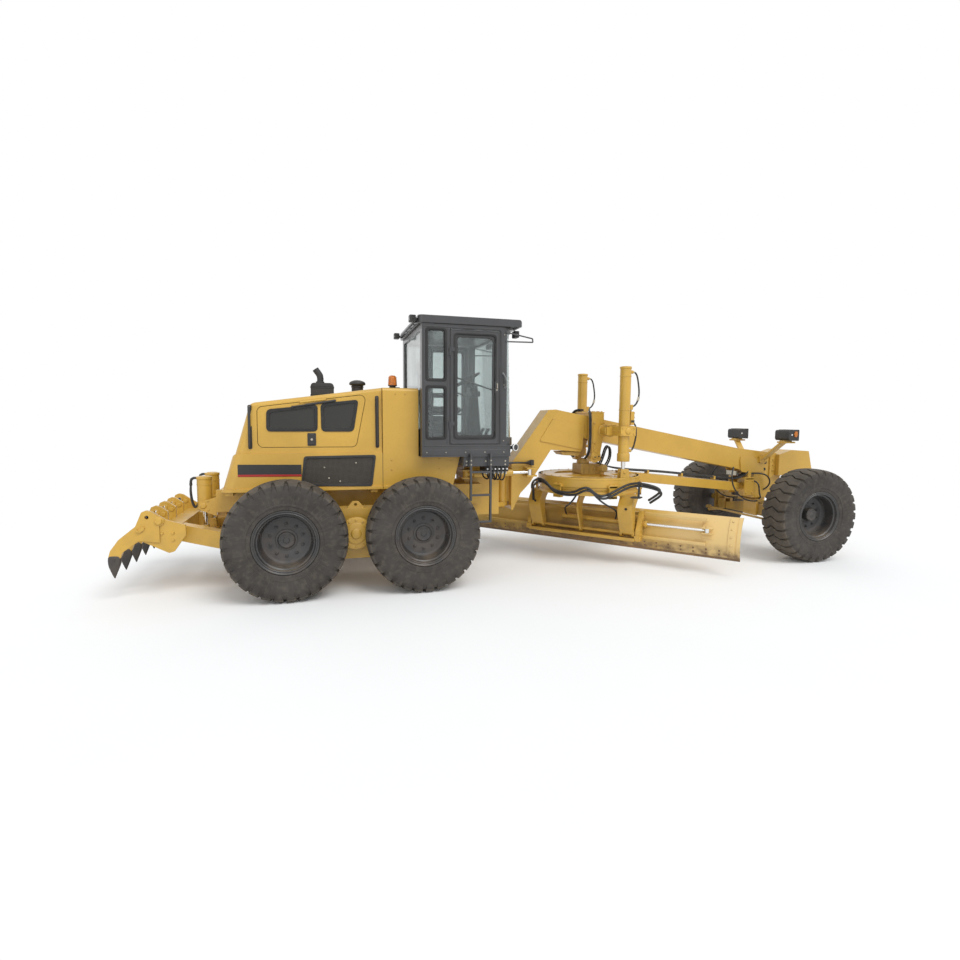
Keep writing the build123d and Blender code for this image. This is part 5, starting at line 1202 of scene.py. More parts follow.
def cab_details():
    for side, name in SIDES:
        body = f"cab_door_{name}_body"
        seal = Shape()
        seal.ring(
            rounded(grown(DOOR_GLASS, 0.014), 0.05), rounded(grown(DOOR_GLASS, -0.006), 0.04), 0.822, 0.831
        )
        frit = Shape()
        frit.ring(
            rounded(grown(DOOR_GLASS, -0.004), 0.04), rounded(grown(DOOR_GLASS, -0.040), 0.03), 0.8085, 0.8115
        )
        rail = Shape()
        rail.ring(rounded(grown(DOOR, -0.006), 0.03), rounded(grown(DOOR, -0.020), 0.03), 0.823, 0.829)
        rail.plate(upright(1.724, 1.770, 2.36, 2.50, 0.012), 0.824, 0.834)
        lock = Shape()
        lock.rod(at(1.747, 0.832, 2.395), at(1.747, 0.839, 2.395), 0.011)
        lock.pipe([
            at(1.747, 0.832, 2.475), at(1.747, 0.848, 2.470), at(1.747, 0.852, 2.455),
            at(1.747, 0.852, 2.415),
        ], 0.007, 12)
        inner = Shape()
        inner.pipe(
            [at(1.205, 0.80, 2.56), at(1.205, 0.765, 2.55), at(1.70, 0.765, 2.40), at(1.725, 0.80, 2.39)],
            0.011, 12
        )
        for shape, label, finish, bevel in (
            (seal, "door_glass_seal", "seal", 0.003), (frit, "door_glass_border", "frit", 0),
            (rail, "door_edge_trim", "black", 0.002), (lock, "door_lock", "zinc", 0.001),
            (inner, "door_inside_bar", "trim", 0),
        ):
            if side < 0:
                shape.move(Matrix.Scale(-1, 4, (0, 1, 0)))
            shape.piece(f"{label}_{name}", finish, body, bevel)
    seals = Shape()
    for pane in CORNER_PANES:
        seals.ring(rounded(grown(pane, 0.016), 0.04), rounded(grown(pane, -0.008), 0.03), 0.822, 0.831)
    seals.both_sides().piece("corner_window_seals", "seal", "rear_body", 0.003)
    frits = Shape()
    for pane in CORNER_PANES:
        frits.ring(rounded(grown(pane, -0.004), 0.03), rounded(grown(pane, -0.022), 0.02), 0.8085, 0.8115)
    frits.both_sides().piece("corner_window_borders", "frit", "rear_body")
    lines = Shape()
    lines.plate(upright(0.812, 1.900, 1.693, 1.703, 0.004), 0.8245, 0.8300)
    lines.plate(upright(0.812, 1.905, 1.582, 1.650, 0.010), 0.8245, 0.8285)
    lines.plate(upright(0.815, 1.80, 3.136, 3.146, 0.004), 0.8245, 0.8300)
    lines.plate(upright(0.824, 0.838, 1.725, 3.125, 0.006), 0.8245, 0.8300)
    lines.plate(upright(1.112, 1.124, 1.725, 3.125, 0.005), 0.8245, 0.8300)
    lines.plate(upright(1.806, 1.818, 1.725, 3.125, 0.005), 0.8245, 0.8300)
    lines.both_sides().piece("cab_pressings", "black", "rear_body", 0.002)
    handle = Shape()
    handle.pipe([
        at(1.830, 0.822, 2.600), at(1.826, 0.846, 2.600), at(1.832, 0.856, 2.590), at(1.856, 0.857, 2.550),
        at(1.868, 0.857, 2.500), at(1.866, 0.850, 2.440), at(1.860, 0.822, 2.432),
    ], 0.0085, 14)
    for x, z in ((1.830, 2.600), (1.860, 2.432)):
        handle.turned(
            [(0.0, 0.006), (0.014, 0.004), (0.017, 0.0), (0.0, -0.002)], at(x, 0.8245, z), (0, 1, 0), 20
        )
    handle.both_sides().piece("cab_handles", "grey", "rear_body")
    screws = Shape()
    for z in (1.76, 2.46, 3.08):
        screws.turned(
            [(0.0, 0.004), (0.006, 0.003), (0.008, 0.0), (0.0, -0.001)], at(1.845, 0.8245, z), (0, 1, 0), 16
        )
    for x in (0.86, 1.10, 1.35, 1.60, 1.85):
        screws.turned(
            [(0.0, 0.004), (0.006, 0.003), (0.008, 0.0), (0.0, -0.001)], at(x, 0.8285, 1.616), (0, 1, 0), 16
        )
    screws.both_sides().piece("cab_screws", "zinc", "rear_body")
    gutter = Shape()
    outline = [(0.790, -0.826), (1.990, -0.826), (1.990, 0.826), (0.790, 0.826)]
    inner_line = [(0.830, -0.786), (1.945, -0.786), (1.945, 0.786), (0.830, 0.786)]
    shell = [rounded(line, 0.16 if line is outline else 0.12) for line in (outline, inner_line)]
    rows = [at(x, y, z) for line in shell for z in (3.172, 3.1806) for x, y in line]
    count = len(shell[0])
    faces = []
    for a, b in ((0, 1), (1, 3), (3, 2), (2, 0)):
        for index in range(count):
            other = (index + 1) % count
            faces.append((a * count + index, a * count + other, b * count + other, b * count + index))
    gutter.add(rows, faces)
    gutter.piece("roof_seal", "seal", "rear_body")
    wiper = Shape()
    wiper.turned(
        [(0.0, 0.030), (0.018, 0.028), (0.022, 0.0), (0.0, -0.004)], at(2.003, 0.10, 1.76), (1, 0, 0), 24
    )
    wiper.pipe([at(2.026, 0.10, 1.76), at(2.028, 0.06, 1.90), at(2.012, -0.06, 2.36)], 0.007, 10)
    wiper.pipe([at(2.003, -0.06, 2.02), at(1.988, -0.06, 2.60)], 0.006, 8)
    wiper.piece("windscreen_wiper", "trim", "rear_body")
    mirror = Shape()
    mirror.pipe([at(2.035, 0.0, 3.150), at(2.050, 0.0, 3.100), at(2.050, 0.0, 3.060)], 0.008, 10)
    mirror.plate(upright(2.036, 2.062, 2.99, 3.065, 0.010), -0.11, 0.11)
    mirror.piece("front_mirror", "trim", "rear_body", 0.003)


def cushion(corners, low, high, lean=0.0, channels=()):
    """A crowned seat pad between two heights: its sides pull in and its top is sewn across in channels."""
    (x0, x1), (y0, y1) = corners
    shape = Shape()
    columns = 24
    rows = 20
    grid = {}
    points = []
    faces = []
    thick = high - low
    for layer in (0, 1):
        for i in range(columns + 1):
            for j in range(rows + 1):
                u = i / columns
                v = j / rows
                edge = min(1.0, min(u, 1 - u, v, 1 - v) * 7)
                crown = (1 - (1 - edge) ** 2) ** 0.5
                pull = 0.012 * (1 - abs(2 * v - 1)) * (1 if u in (0, 1) else 0)
                x = x0 + (x1 - x0) * u + (pull if u == 0 else -pull)
                y = y0 + (y1 - y0) * v
                sewn = sum(0.014 * max(0.0, 1 - abs(u - c) * 26) for c in channels)
                dent = sewn + 0.012 * max(0.0, 1 - abs(abs(v - 0.5) - 0.34) * 30)
                rise = thick * 0.55 * crown - dent * crown if layer else -thick * 0.45 * crown
                z = low + thick * 0.45 + rise
                grid[layer, i, j] = len(points)
                points.append(at(x + lean * (z - low), y, z))
    for layer in (0, 1):
        for i in range(columns):
            for j in range(rows):
                faces.append((
                    grid[layer, i, j], grid[layer, i + 1, j], grid[layer, i + 1, j + 1],
                    grid[layer, i, j + 1],
                ))
    shape.add(points, faces)
    bmesh.ops.remove_doubles(shape.mesh, verts=shape.mesh.verts, dist=0.0002)
    return shape


def cab_inside():
    """The seat with its cushions, the console with column, wheel and levers, and the floor mat."""
    seat = Shape()
    seat.plate(
        rounded([(1.05, 1.751), (1.31, 1.751), (1.28, 1.93), (1.30, 2.07), (1.06, 2.07), (1.08, 1.93)], 0.03),
        -0.15, 0.15
    )
    for index in range(6):
        z = 1.80 + index * 0.040
        seat.plate(upright(1.045, 1.315, z, z + 0.018, 0.008), -0.158, 0.158)
    seat.plate(upright(0.960, 1.440, 2.080, 2.105, 0.01), -0.235, 0.235)
    seat.plate(rounded([(0.945, 2.110), (0.975, 2.110), (0.925, 2.79), (0.902, 2.79)], 0.01), -0.20, 0.20)
    for side in (-1, 1):
        seat.pipe(
            [at(1.035, side * 0.245, 2.15), at(1.035, side * 0.27, 2.22), at(1.035, side * 0.295, 2.34)],
            0.014
        )
        seat.plate(upright(1.012, 1.378, 2.330, 2.350, 0.01), side * 0.300 - 0.028, side * 0.300 + 0.028)
    piece = seat.piece("seat_frame", "trim", "rear_body", 0.003)
    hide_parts("cab_interior")
    pan = cushion(((0.985, 1.448), (-0.245, 0.245)), 2.103, 2.200, channels=(0.35, 0.68))
    pan.piece("seat_cushion", "vinyl", "rear_body", smooth=60, levels=1)
    back = cushion(((0.0, 0.60), (-0.235, 0.235)), 0.0, 0.085, channels=(0.3, 0.62))
    turn = Matrix.Rotation(radians(-94.5), 4, "Y")
    back.move(Matrix.Translation(at(1.052, 0, 2.185)) @ turn @ Matrix.Translation(-at(0, 0, 0)))
    back.piece("seat_back_cushion", "vinyl", "rear_body", smooth=60, levels=1)
    for side, name in SIDES:
        pad = cushion(((1.02, 1.37), (side * 0.30 - 0.026, side * 0.30 + 0.026)), 2.349, 2.369)
        pad.piece(f"armrest_{name}", "vinyl", "rear_body", smooth=60)
    console = Shape()
    console.plate(
        rounded([(1.565, 1.751), (1.755, 1.751), (1.695, 2.43), (1.595, 2.47)], 0.02), -0.105, 0.105
    )
    console.plate(
        rounded([(1.588, 2.335), (1.702, 2.335), (1.702, 2.408), (1.588, 2.400)], 0.015), -0.225, 0.225
    )
    console.pipe([at(1.64, 0, 2.42), at(1.605, 0, 2.50), at(1.572, 0, 2.566)], 0.024)
    console.plate(rounded([(1.640, 2.405), (1.700, 2.405), (1.690, 2.50), (1.668, 2.50)], 0.01), -0.12, 0.12)
    for y in (-0.19, -0.15, 0.15, 0.19):
        console.pipe([at(1.640, y, 2.395), at(1.618, y, 2.47), at(1.590, y, 2.575)], 0.006, 10)
        console.turned(
            [(0.0, 0.030), (0.010, 0.027), (0.014, 0.015), (0.010, 0.0), (0.0, -0.002)], at(1.590, y, 2.572),
            (-0.26, 0, 0.96), 18
        )
    console.piece("console", "trim", "rear_body", 0.003)
    wheel = Shape()
    ring_profile = [(0.190 + 0.0145 * cos(a * pi / 5), 0.0145 * sin(a * pi / 5)) for a in range(10)]
    tilt = Vector((-sin(radians(30)), 0, cos(radians(30))))
    centre = at(1.570, 0, 2.570)
    wheel.turned(ring_profile, centre, tilt, 56)
    wheel.turned(
        [(0.0, 0.016), (0.038, 0.012), (0.044, 0.0), (0.040, -0.018), (0.0, -0.018)], centre, tilt, 32
    )
    level = Vector((cos(radians(30)), 0, sin(radians(30))))
    for index in range(3):
        angle = 2 * pi * index / 3
        arm = level * cos(angle) + Vector((0, 1, 0)) * sin(angle)
        wheel.pipe([centre + arm * 0.03, centre + arm * 0.10 - tilt * 0.006, centre + arm * 0.185], 0.009, 12)
    wheel.rod(centre + level * 0.12 + tilt * 0.01, centre + level * 0.12 + tilt * 0.05, 0.014, sides=18)
    wheel.piece("steering_wheel", "trim", "rear_body", smooth=60)
    mat = Shape()
    mat.plate([(0.86, 1.7508), (1.90, 1.7508), (1.90, 1.757), (0.86, 1.757)], -0.74, 0.74)
    for index in range(26):
        x = 0.88 + index * 0.039
        mat.box(x, x + 0.014, -0.72, 0.72, 1.756, 1.760)
    for y in (-0.12, 0.12):
        mat.plate(
            rounded([(1.79, 1.80), (1.805, 1.79), (1.86, 1.90), (1.845, 1.91)], 0.006), y - 0.05, y + 0.05
        )
        mat.rod(at(1.83, y, 1.757), at(1.83, y, 1.85), 0.008, sides=10)
    mat.piece("floor_mat_and_pedals", "seal", "rear_body", 0.001)


# Blade group: shapes are laid out square about the circle's centre, then turned to their place

TURNED = (Matrix.Translation(at(CIRCLE_X, 0, 0)) @ Matrix.Rotation(CIRCLE_TURN, 4, "Z")
          @ Matrix.Translation(-at(0, 0, 0)))
GEAR_TEETH = 64
RING_BOLTS = 36
ARMS_Y = (-0.700, 0.700)
ELBOW = (-0.400, 0.800)
PITCH = (-0.200, 0.440)
ROD_X = -0.088
ROD_Z = 0.580
GUIDES_Y = (-0.850, 0.850)


def turned_place(x, y, z):
    return TURNED @ at(x, y, z)


def bent(points, radius, steps=6):
    """A line with its inner corners turned into arcs."""
    out = [points[0]]
    for before, corner, after in zip(points, points[1:], points[2:]):
        corner = Vector(corner)
        to_before = Vector(before) - corner
        to_after = Vector(after) - corner
        reach = min(radius, to_before.length * 0.45, to_after.length * 0.45)
        start = corner + to_before.normalized() * reach
        end = corner + to_after.normalized() * reach
        for step in range(steps + 1):
            t = step / steps
            out.append(tuple((1 - t) ** 2 * start + 2 * t * (1 - t) * corner + t ** 2 * end))
    return [*out, points[-1]]


def circle_group():
    """The gear ring with its teeth inside, and the bent arms made of a wide strap between two sheets."""
    ring = Shape()
    ring.turned([
        (0.575, 0.9850), (0.726, 0.9850), (0.730, 0.989), (0.730, 1.022), (0.726, 1.026), (0.716, 1.028),
        (0.714, 1.060), (0.727, 1.064), (0.730, 1.068), (0.730, 1.0965), (0.726, 1.100), (0.575, 1.100),
    ], at(0, 0, 0), (0, 0, 1), 96)
    for index in range(GEAR_TEETH):
        angle = 2 * pi * index / GEAR_TEETH
        out = Vector((cos(angle), sin(angle), 0))
        side = Vector((-sin(angle), cos(angle), 0))
        rings = []
        for z in (1.000, 1.085):
            rings.append([at(0, 0, z) + out * r + side * s for r, s in (
                (0.576, -0.021), (0.5602, -0.009), (0.5602, 0.009), (0.576, 0.021),
            )])
        ring.prism(*rings)
    for index in range(RING_BOLTS):
        angle = 2 * pi * (index + 0.5) / RING_BOLTS
        out = Vector((cos(angle), sin(angle), 0))
        ring.bolt(at(0, 0, 0.985) + out * 0.655, (0, 0, -1), 0.011)
    strap_out = bent([(-0.285, 0.965), ELBOW, (-0.250, 0.440)], 0.16, 10)
    strap_in = bent([(-0.263, 0.965), (-0.376, 0.803), (-0.228, 0.450)], 0.14, 10)
    sheet = bent([
        (-0.280, 0.965), (-0.396, 0.801), (-0.248, 0.440), (-0.152, 0.440), (-0.155, 0.492), (-0.232, 0.792),
        (-0.050, 0.965),
    ], 0.12, 8)
    for y in ARMS_Y:
        ring.plate([*strap_out, *reversed(strap_in)], y - 0.0985, y + 0.0985)
        for y0 in (y - 0.100, y + 0.075):
            ring.plate(sheet, y0, y0 + 0.025)
            ring.rod(at(PITCH[0], y0 - 0.006, PITCH[1]), at(PITCH[0], y0 + 0.031, PITCH[1]), 0.0495, sides=32)
        ring.plate([(-0.290, 0.955), (-0.040, 0.955), (-0.040, 0.986), (-0.290, 0.986)], y - 0.105, y + 0.105)
        for x in (-0.245, -0.165, -0.085):
            for step in (-0.082, 0.082):
                ring.bolt(at(x, y + step, 0.955), (0, 0, -1), 0.012)
    ring.plate(sheet, -0.013, 0.013)
    ring.rod(at(PITCH[0], -0.020, PITCH[1]), at(PITCH[0], 0.020, PITCH[1]), 0.0495, sides=32)
    ring.plate([(-0.285, 0.960), (-0.050, 0.960), (-0.050, 0.986), (-0.285, 0.986)], -0.058, 0.058)
    ring.box(-0.578, -0.052, -0.058, 0.058, 0.986, 1.014)
    ring.move(TURNED)
    piece = ring.piece("gear_ring_and_arms", "yellow", "circle_body", 0.0035)
    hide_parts("circle")
    # dark discs with a thin lip in the arms' holes: painted shade inside the holes
    holes = Shape()
    for y in ARMS_Y:
        holes.turned(
            [(0.0, 0.0), (0.0135, 0.0), (0.0175, 0.0015), (0.0185, 0.0005), (0.0175, -0.003), (0.0, -0.003)],
            at(-0.396, y - 0.028, 0.812), (-0.98, 0, -0.05), 24
        )
    holes.move(TURNED).piece("arm_hole_shade", "seal", "circle_body")
    shoes = Shape()
    for index in range(6):
        angle = 2 * pi * (index + 0.5) / 6
        out = Vector((cos(angle), sin(angle), 0))
        side = Vector((-sin(angle), cos(angle), 0))
        for lift, thick, r0, r1, half in (
            (1.100, 0.040, 0.7315, 0.775, 0.075), (0.950, 0.030, 0.700, 0.775, 0.060),
            (0.955, 0.170, 0.745, 0.775, 0.060),
        ):
            low = [at(
                0, 0, lift
            ) + out * r + side * s for r, s in ((r0, -half), (r1, -half), (r1, half), (r0, half))]
            high = [point + Vector((0, 0, thick)) for point in low]
            shoes.prism(low, high)
        for s in (-0.035, 0.035):
            shoes.bolt(at(0, 0, 1.140) + out * 0.752 + side * s, (0, 0, 1), 0.013)
            shoes.bolt(at(0, 0, 1.040) + out * 0.775 + side * s, out, 0.010)
    shoes.move(Matrix.Translation(at(CIRCLE_X, 0, 0) - at(0, 0, 0))).piece(
        "circle_shoes", "yellow", "drawbar_body", 0.003
    )


def blade_section(depth, low, high, count=12):
    """Points on the blade's curve between two heights, at a depth from its back."""
    points = []
    for index in range(count + 1):
        z = low + (high - low) * index / count
        x = 0.344 - ((0.413 - depth) ** 2 - (z - 0.385) ** 2) ** 0.5
        points.append((x, z))
    return points


def blade_details():
    """The curved blade with end bits, bolts and rails, and its rod's lug."""
    blade = Shape()
    back = blade_section(0.0, 0.240, 0.750, 20)
    front = blade_section(0.020, 0.240, 0.750, 20)
    blade.plate([*back, *reversed(front)], -2.135, 2.135)
    for x, z in ((-0.030, 0.715), (-0.115, 0.400)):
        blade.plate(upright(x - 0.022, x + 0.022, z - 0.022, z + 0.022, 0.005),
                    -1.720, 1.720)
        for index in range(-4, 5):
            y = index * 0.425
            end = 0.02 + 0.1 * (0.7 - z) if z > 0.6 else -0.060
            tab = [(x, z - 0.018), (x, z + 0.018), (end, z + 0.018), (end, z - 0.018)]
            blade.plate(tab, y - 0.020, y + 0.020)
    for z in (ROD_Z + 0.029, ROD_Z - 0.0435):
        fin = upright(-0.134, -0.045, z, z + 0.0145, 0.006)
        blade.plate(fin, -1.800, -1.668)
    blade.rod(at(ROD_X, -1.730, 0.535), at(ROD_X, -1.730, 0.628), 0.0155)
    blade.turned(
        [(0.0, 0.010), (0.020, 0.009), (0.024, 0.0), (0.0, 0.0)], at(ROD_X, -1.730, 0.6235), (0, 0, 1), 24
    )
    base = blade_section(-0.010, 0.47, 0.69, 8)
    under = blade_section(0.004, 0.47, 0.69, 8)
    blade.plate([*base, *reversed(under)], -1.80, -1.66)
    blade.move(TURNED)
    piece = blade.piece("blade", "blade", "blade_body", 0.003)
    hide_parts("moldboard")
    bits = Shape()
    for side in (-1, 1):
        outer = blade_section(-0.010, 0.262, 0.744, 16)
        inner = blade_section(0.002, 0.262, 0.744, 16)
        y0, y1 = sorted((side * 1.985, side * 2.075))
        bits.plate([*outer, *reversed(inner)], y0, y1)
        outer = blade_section(-0.006, 0.300, 0.748, 16)
        inner = blade_section(0.002, 0.300, 0.748, 16)
        y0, y1 = sorted((side * 2.090, side * 2.1345))
        bits.plate([*outer, *reversed(inner)], y0, y1)
        for z in (0.315, 0.415, 0.515, 0.615, 0.705):
            x = blade_section(-0.010, z, z + 0.001, 1)[0][0]
            out = Vector((x - 0.344, 0, z - 0.385)).normalized()
            bits.bolt(at(x, side * 2.025, z), out, 0.012)
    bits.move(TURNED).piece("blade_end_bits", "blade", "blade_body", 0.002)
    plough = Shape()
    for index in range(26):
        y = -2.05 + index * 0.164
        for z in (0.275, 0.325):
            x = blade_section(0.0, z, z + 0.001, 1)[0][0]
            out = Vector((x - 0.344, 0, z - 0.385)).normalized()
            plough.bolt(at(x, y, z), out, 0.010)
    plough.move(TURNED).piece("blade_edge_nuts", "brown", "blade_body", 0.001)


def carrier_details():
    guide = Shape()
    for y in GUIDES_Y:
        side = 1 if y > 0 else -1
        for x, z, out in ((-0.060, 0.790, 0), (-0.105, 0.690, 0), (-0.150, 0.520, 0), (-0.150, 0.455, 0)):
            guide.bolt(at(x, y + side * 0.030, z - 0.03), (0, side, 0), 0.014)
        guide.plate(rounded(
            [(-0.130, 0.640), (-0.100, 0.560), (-0.076, 0.560), (-0.076, 0.660), (-0.106, 0.668)], 0.008
        ), y - 0.036, y + 0.036)
        for z in (0.745, 0.372, 0.355):
            x = -0.092 if z > 0.5 else -0.235
            guide.bolt(at(x, y, z), (-1, 0, 0), 0.014)
        guide.plate(upright(-0.256, -0.225, 0.352, 0.425, 0.006), y - 0.045, y + 0.045)
        for step in (-0.03, 0.03):
            guide.bolt(at(-0.256, y + step, 0.388), (-1, 0, 0), 0.011)
    guide.plate(upright(-0.286, -0.140, 0.362, 0.378, 0.004), -0.822, 0.822)
    guide.plate(upright(-0.290, -0.272, 0.345, 0.392, 0.005), -0.822, 0.822)
    guide.turned(
        [(0.0205, -0.016), (0.044, -0.016), (0.048, -0.006), (0.048, 0.016), (0.042, 0.022), (0.0205, 0.022)],
        at(ROD_X, -0.915, ROD_Z), (0, -1, 0), 36
    )
    for y in (-0.60, -0.05, 0.30):
        guide.turned(
            [(0.0365, -0.012), (0.0405, -0.010), (0.0405, 0.010), (0.0365, 0.012)], at(ROD_X, y, ROD_Z),
            (0, 1, 0), 32
        )
    guide.rod(at(-0.115, 0.27, 0.600), at(-0.145, 0.27, 0.618), 0.012)
    guide.rod(at(-0.115, -0.50, 0.600), at(-0.145, -0.50, 0.618), 0.012)
    guide.move(TURNED).piece("blade_guides", "yellow", "carrier_body", 0.003)


# Hoses over the blade, laid out square about the circle's centre and turned with it
BLADE_LINE = [
    (-0.395, 0.71, 0.97), (-0.46, 0.68, 1.04), (-0.60, 0.57, 1.11), (-0.72, 0.43, 1.155),
    (-0.785, 0.33, 1.155), (-0.805, 0.25, 1.11), (-0.81, 0.18, 1.04), (-0.81, 0.09, 1.005),
    (-0.81, -0.04, 0.995), (-0.81, -0.17, 1.01), (-0.81, -0.25, 1.06), (-0.80, -0.32, 1.09),
    (-0.775, -0.38, 1.07), (-0.75, -0.43, 1.01), (-0.70, -0.48, 0.97), (-0.64, -0.54, 0.97),
    (-0.57, -0.61, 1.01), (-0.47, -0.70, 1.08), (-0.400, -0.79, 1.13), (-0.375, -0.90, 1.15),
    (-0.37, -1.05, 1.13), (-0.36, -1.17, 1.10), (-0.33, -1.20, 1.05), (-0.26, -1.13, 0.99),
    (-0.20, -1.00, 0.90),
]
BRANCHES = [
    ("blade_branch_left", [
        (-0.80, -0.17, 1.01), (-0.79, -0.12, 0.93), (-0.70, -0.02, 0.85), (-0.50, 0.12, 0.79),
        (-0.28, 0.24, 0.72), (-0.15, 0.27, 0.62),
    ]),
    ("blade_branch_right", [
        (-0.75, -0.41, 1.02), (-0.67, -0.48, 0.92), (-0.55, -0.55, 0.85), (-0.36, -0.58, 0.78),
        (-0.20, -0.54, 0.71), (-0.15, -0.50, 0.62),
    ]),
]


def blade_hoses():
    for index, shift in enumerate((Vector((0, 0, 0)), Vector((-0.012, 0.016, 0.036)))):
        line = [turned_place(*(Vector(point) + shift)) for point in BLADE_LINE]
        hose(f"blade_hose_{index}", line, 0.0165, "circle_body")
    for name, points in BRANCHES:
        line = [turned_place(*point) for point in points]
        hose(name, line, 0.0125, "circle_body", far_body="carrier_body")
    clamps = Shape()
    for y, z, x in ((0.430, 1.171, -0.735), (-0.575, 1.012, -0.615), (-0.900, 1.168, -0.383)):
        clamps.plate(rounded(
            [(x - 0.030, z - 0.036), (x + 0.024, z - 0.036), (x + 0.020, z + 0.036), (x - 0.034, z + 0.036)],
            0.012
        ), y - 0.014, y + 0.014)
    clamps.plate(
        rounded([(-0.402, 0.815), (-0.378, 0.820), (-0.388, 0.985), (-0.412, 0.985)], 0.006), 0.690, 0.720
    )
    clamps.plate(
        rounded([(-0.404, 0.986), (-0.382, 0.986), (-0.372, 1.150), (-0.396, 1.150)], 0.006), -0.912, -0.888
    )
    clamps.plate(upright(-0.404, -0.270, 0.970, 0.988, 0.006), -0.915, -0.790)
    clamps.move(TURNED).piece("hose_clamps", "trim", "circle_body", 0.002)


def drawbar_details():
    gear = Shape()
    low = 1.236
    gear.plate(
        rounded([(3.262, low), (3.640, low), (3.640, 1.372), (3.610, 1.386), (3.262, 1.386)], 0.02), -0.150,
        0.150
    )
    for x in (3.30, 3.39, 3.48, 3.57):
        gear.box(x, x + 0.012, -0.158, 0.158, low + 0.01, 1.378)
    gear.turned([
        (0.0, 0.080), (0.050, 0.077), (0.060, 0.068), (0.064, 0.056), (0.085, 0.052), (0.092, 0.030),
        (0.092, 0.0), (0.0, 0.0),
    ], at(3.370, 0.02, 1.385), (0, 0, 1), 36)
    gear.turned(
        [(0.0, 0.20), (0.048, 0.20), (0.055, 0.19), (0.055, 0.02), (0.070, 0.012), (0.070, 0.0), (0.0, 0.0)],
        at(3.535, -0.150, 1.315), (0, -1, 0.12), 32
    )
    for angle in (0.4, 1.5, 2.6, 3.7, 4.8, 5.9):
        gear.bolt(at(3.370 + 0.078 * cos(angle), 0.02 + 0.078 * sin(angle), 1.4365), (0, 0, 1), 0.009)
    gear.piece("circle_gearbox", "soiled", "drawbar_body", 0.004)
    plates = Shape()
    plates.turned(
        [(0.700, 1.2350), (0.735, 1.2350), (0.742, 1.228), (0.7425, 1.205), (0.740, 1.200), (0.700, 1.200)],
        at(CIRCLE_X, 0, 0), (0, 0, 1), 96
    )
    for index in range(24):
        angle = 2 * pi * index / 24
        plates.bolt(at(CIRCLE_X + 0.69 * cos(angle), 0.69 * sin(angle), 1.2352), (0, 0, 1), 0.010)
    for side in (-1, 1):
        for y in (0.6225, 0.6975):
            rim = rounded([(3.615, 1.236), (3.705, 1.236), (3.700, 1.335), (3.612, 1.335)], 0.015)
            plates.plate(rim, side * y - 0.013, side * y + 0.013)
        plates.turned(
            [(0.0, 0.012), (0.016, 0.010), (0.020, 0.0), (0.0, 0.0)], at(LIFT_X, side * 0.7115, 1.310),
            (0, side, 0), 24
        )
        plates.bolt(at(3.76, side * 0.60, 1.2352), (0, 0, 1), 0.012)
        plates.bolt(at(3.62, side * 0.50, 1.2352), (0, 0, 1), 0.012)
    plates.plate(rounded([(3.97, 1.238), (4.10, 1.232), (4.10, 1.262), (3.97, 1.267)], 0.006), -0.122, 0.122)
    for x, z in ((4.4, 1.222), (5.0, 1.165), (5.6, 1.108)):
        plates.plate(upright(x - 0.015, x + 0.015, z - 0.002, z + 0.052, 0.005), -0.118, -0.030)
    plates.piece("drawbar_fittings", "yellow", "drawbar_body", 0.003)
    for index, y in enumerate((-0.100, -0.073, -0.046)):
        lift = 0.006 * index
        line = [
            at(3.56, y * 0.6, 1.40), at(3.70, y, 1.345), at(3.90, y, 1.300 + lift), at(4.20, y, 1.272 + lift),
            at(4.55, y, 1.252 + lift), at(5.00, y, 1.205 + lift), at(5.45, y, 1.158 + lift),
            at(5.85, y, 1.118 + lift), at(5.98, y, 1.110 + lift),
        ]
        hose(f"drawbar_tube_{index}", line, 0.0115, "drawbar_body")
        far = [
            at(5.96, y, 1.111 + lift), at(6.03, y, 1.112 + lift), at(6.10, y * 1.5 - 0.02, 1.150),
            at(6.16, y * 1.6 - 0.02, 1.215), at(6.20, y * 1.4 - 0.02, 1.262),
        ]
        hose(
            f"drawbar_hose_{index}", far, 0.0115, "drawbar_body", far_body="front_body",
        )
    loop = [
        at(3.555, -0.120, 1.383), at(3.560, -0.165, 1.430), at(3.568, -0.212, 1.520),
        at(3.582, -0.230, 1.610), at(3.612, -0.236, 1.665), at(3.650, -0.236, 1.650),
        at(3.672, -0.232, 1.580), at(3.672, -0.215, 1.480), at(3.655, -0.180, 1.400),
        at(3.632, -0.140, 1.350),
    ]
    for index in range(2):
        line = [point + Vector((0.010 * index, -0.026 * index, -0.012 * index)) for point in loop]
        hose(f"gearbox_hose_{index}", line, 0.0115, "drawbar_body")


# Saddle, lift cylinders and front head

# Places of the left lift cylinder and of the pivot that it swings on
LIFT_X = 3.650
LIFT_Y = 0.660
TRUNNION_Z = 1.880

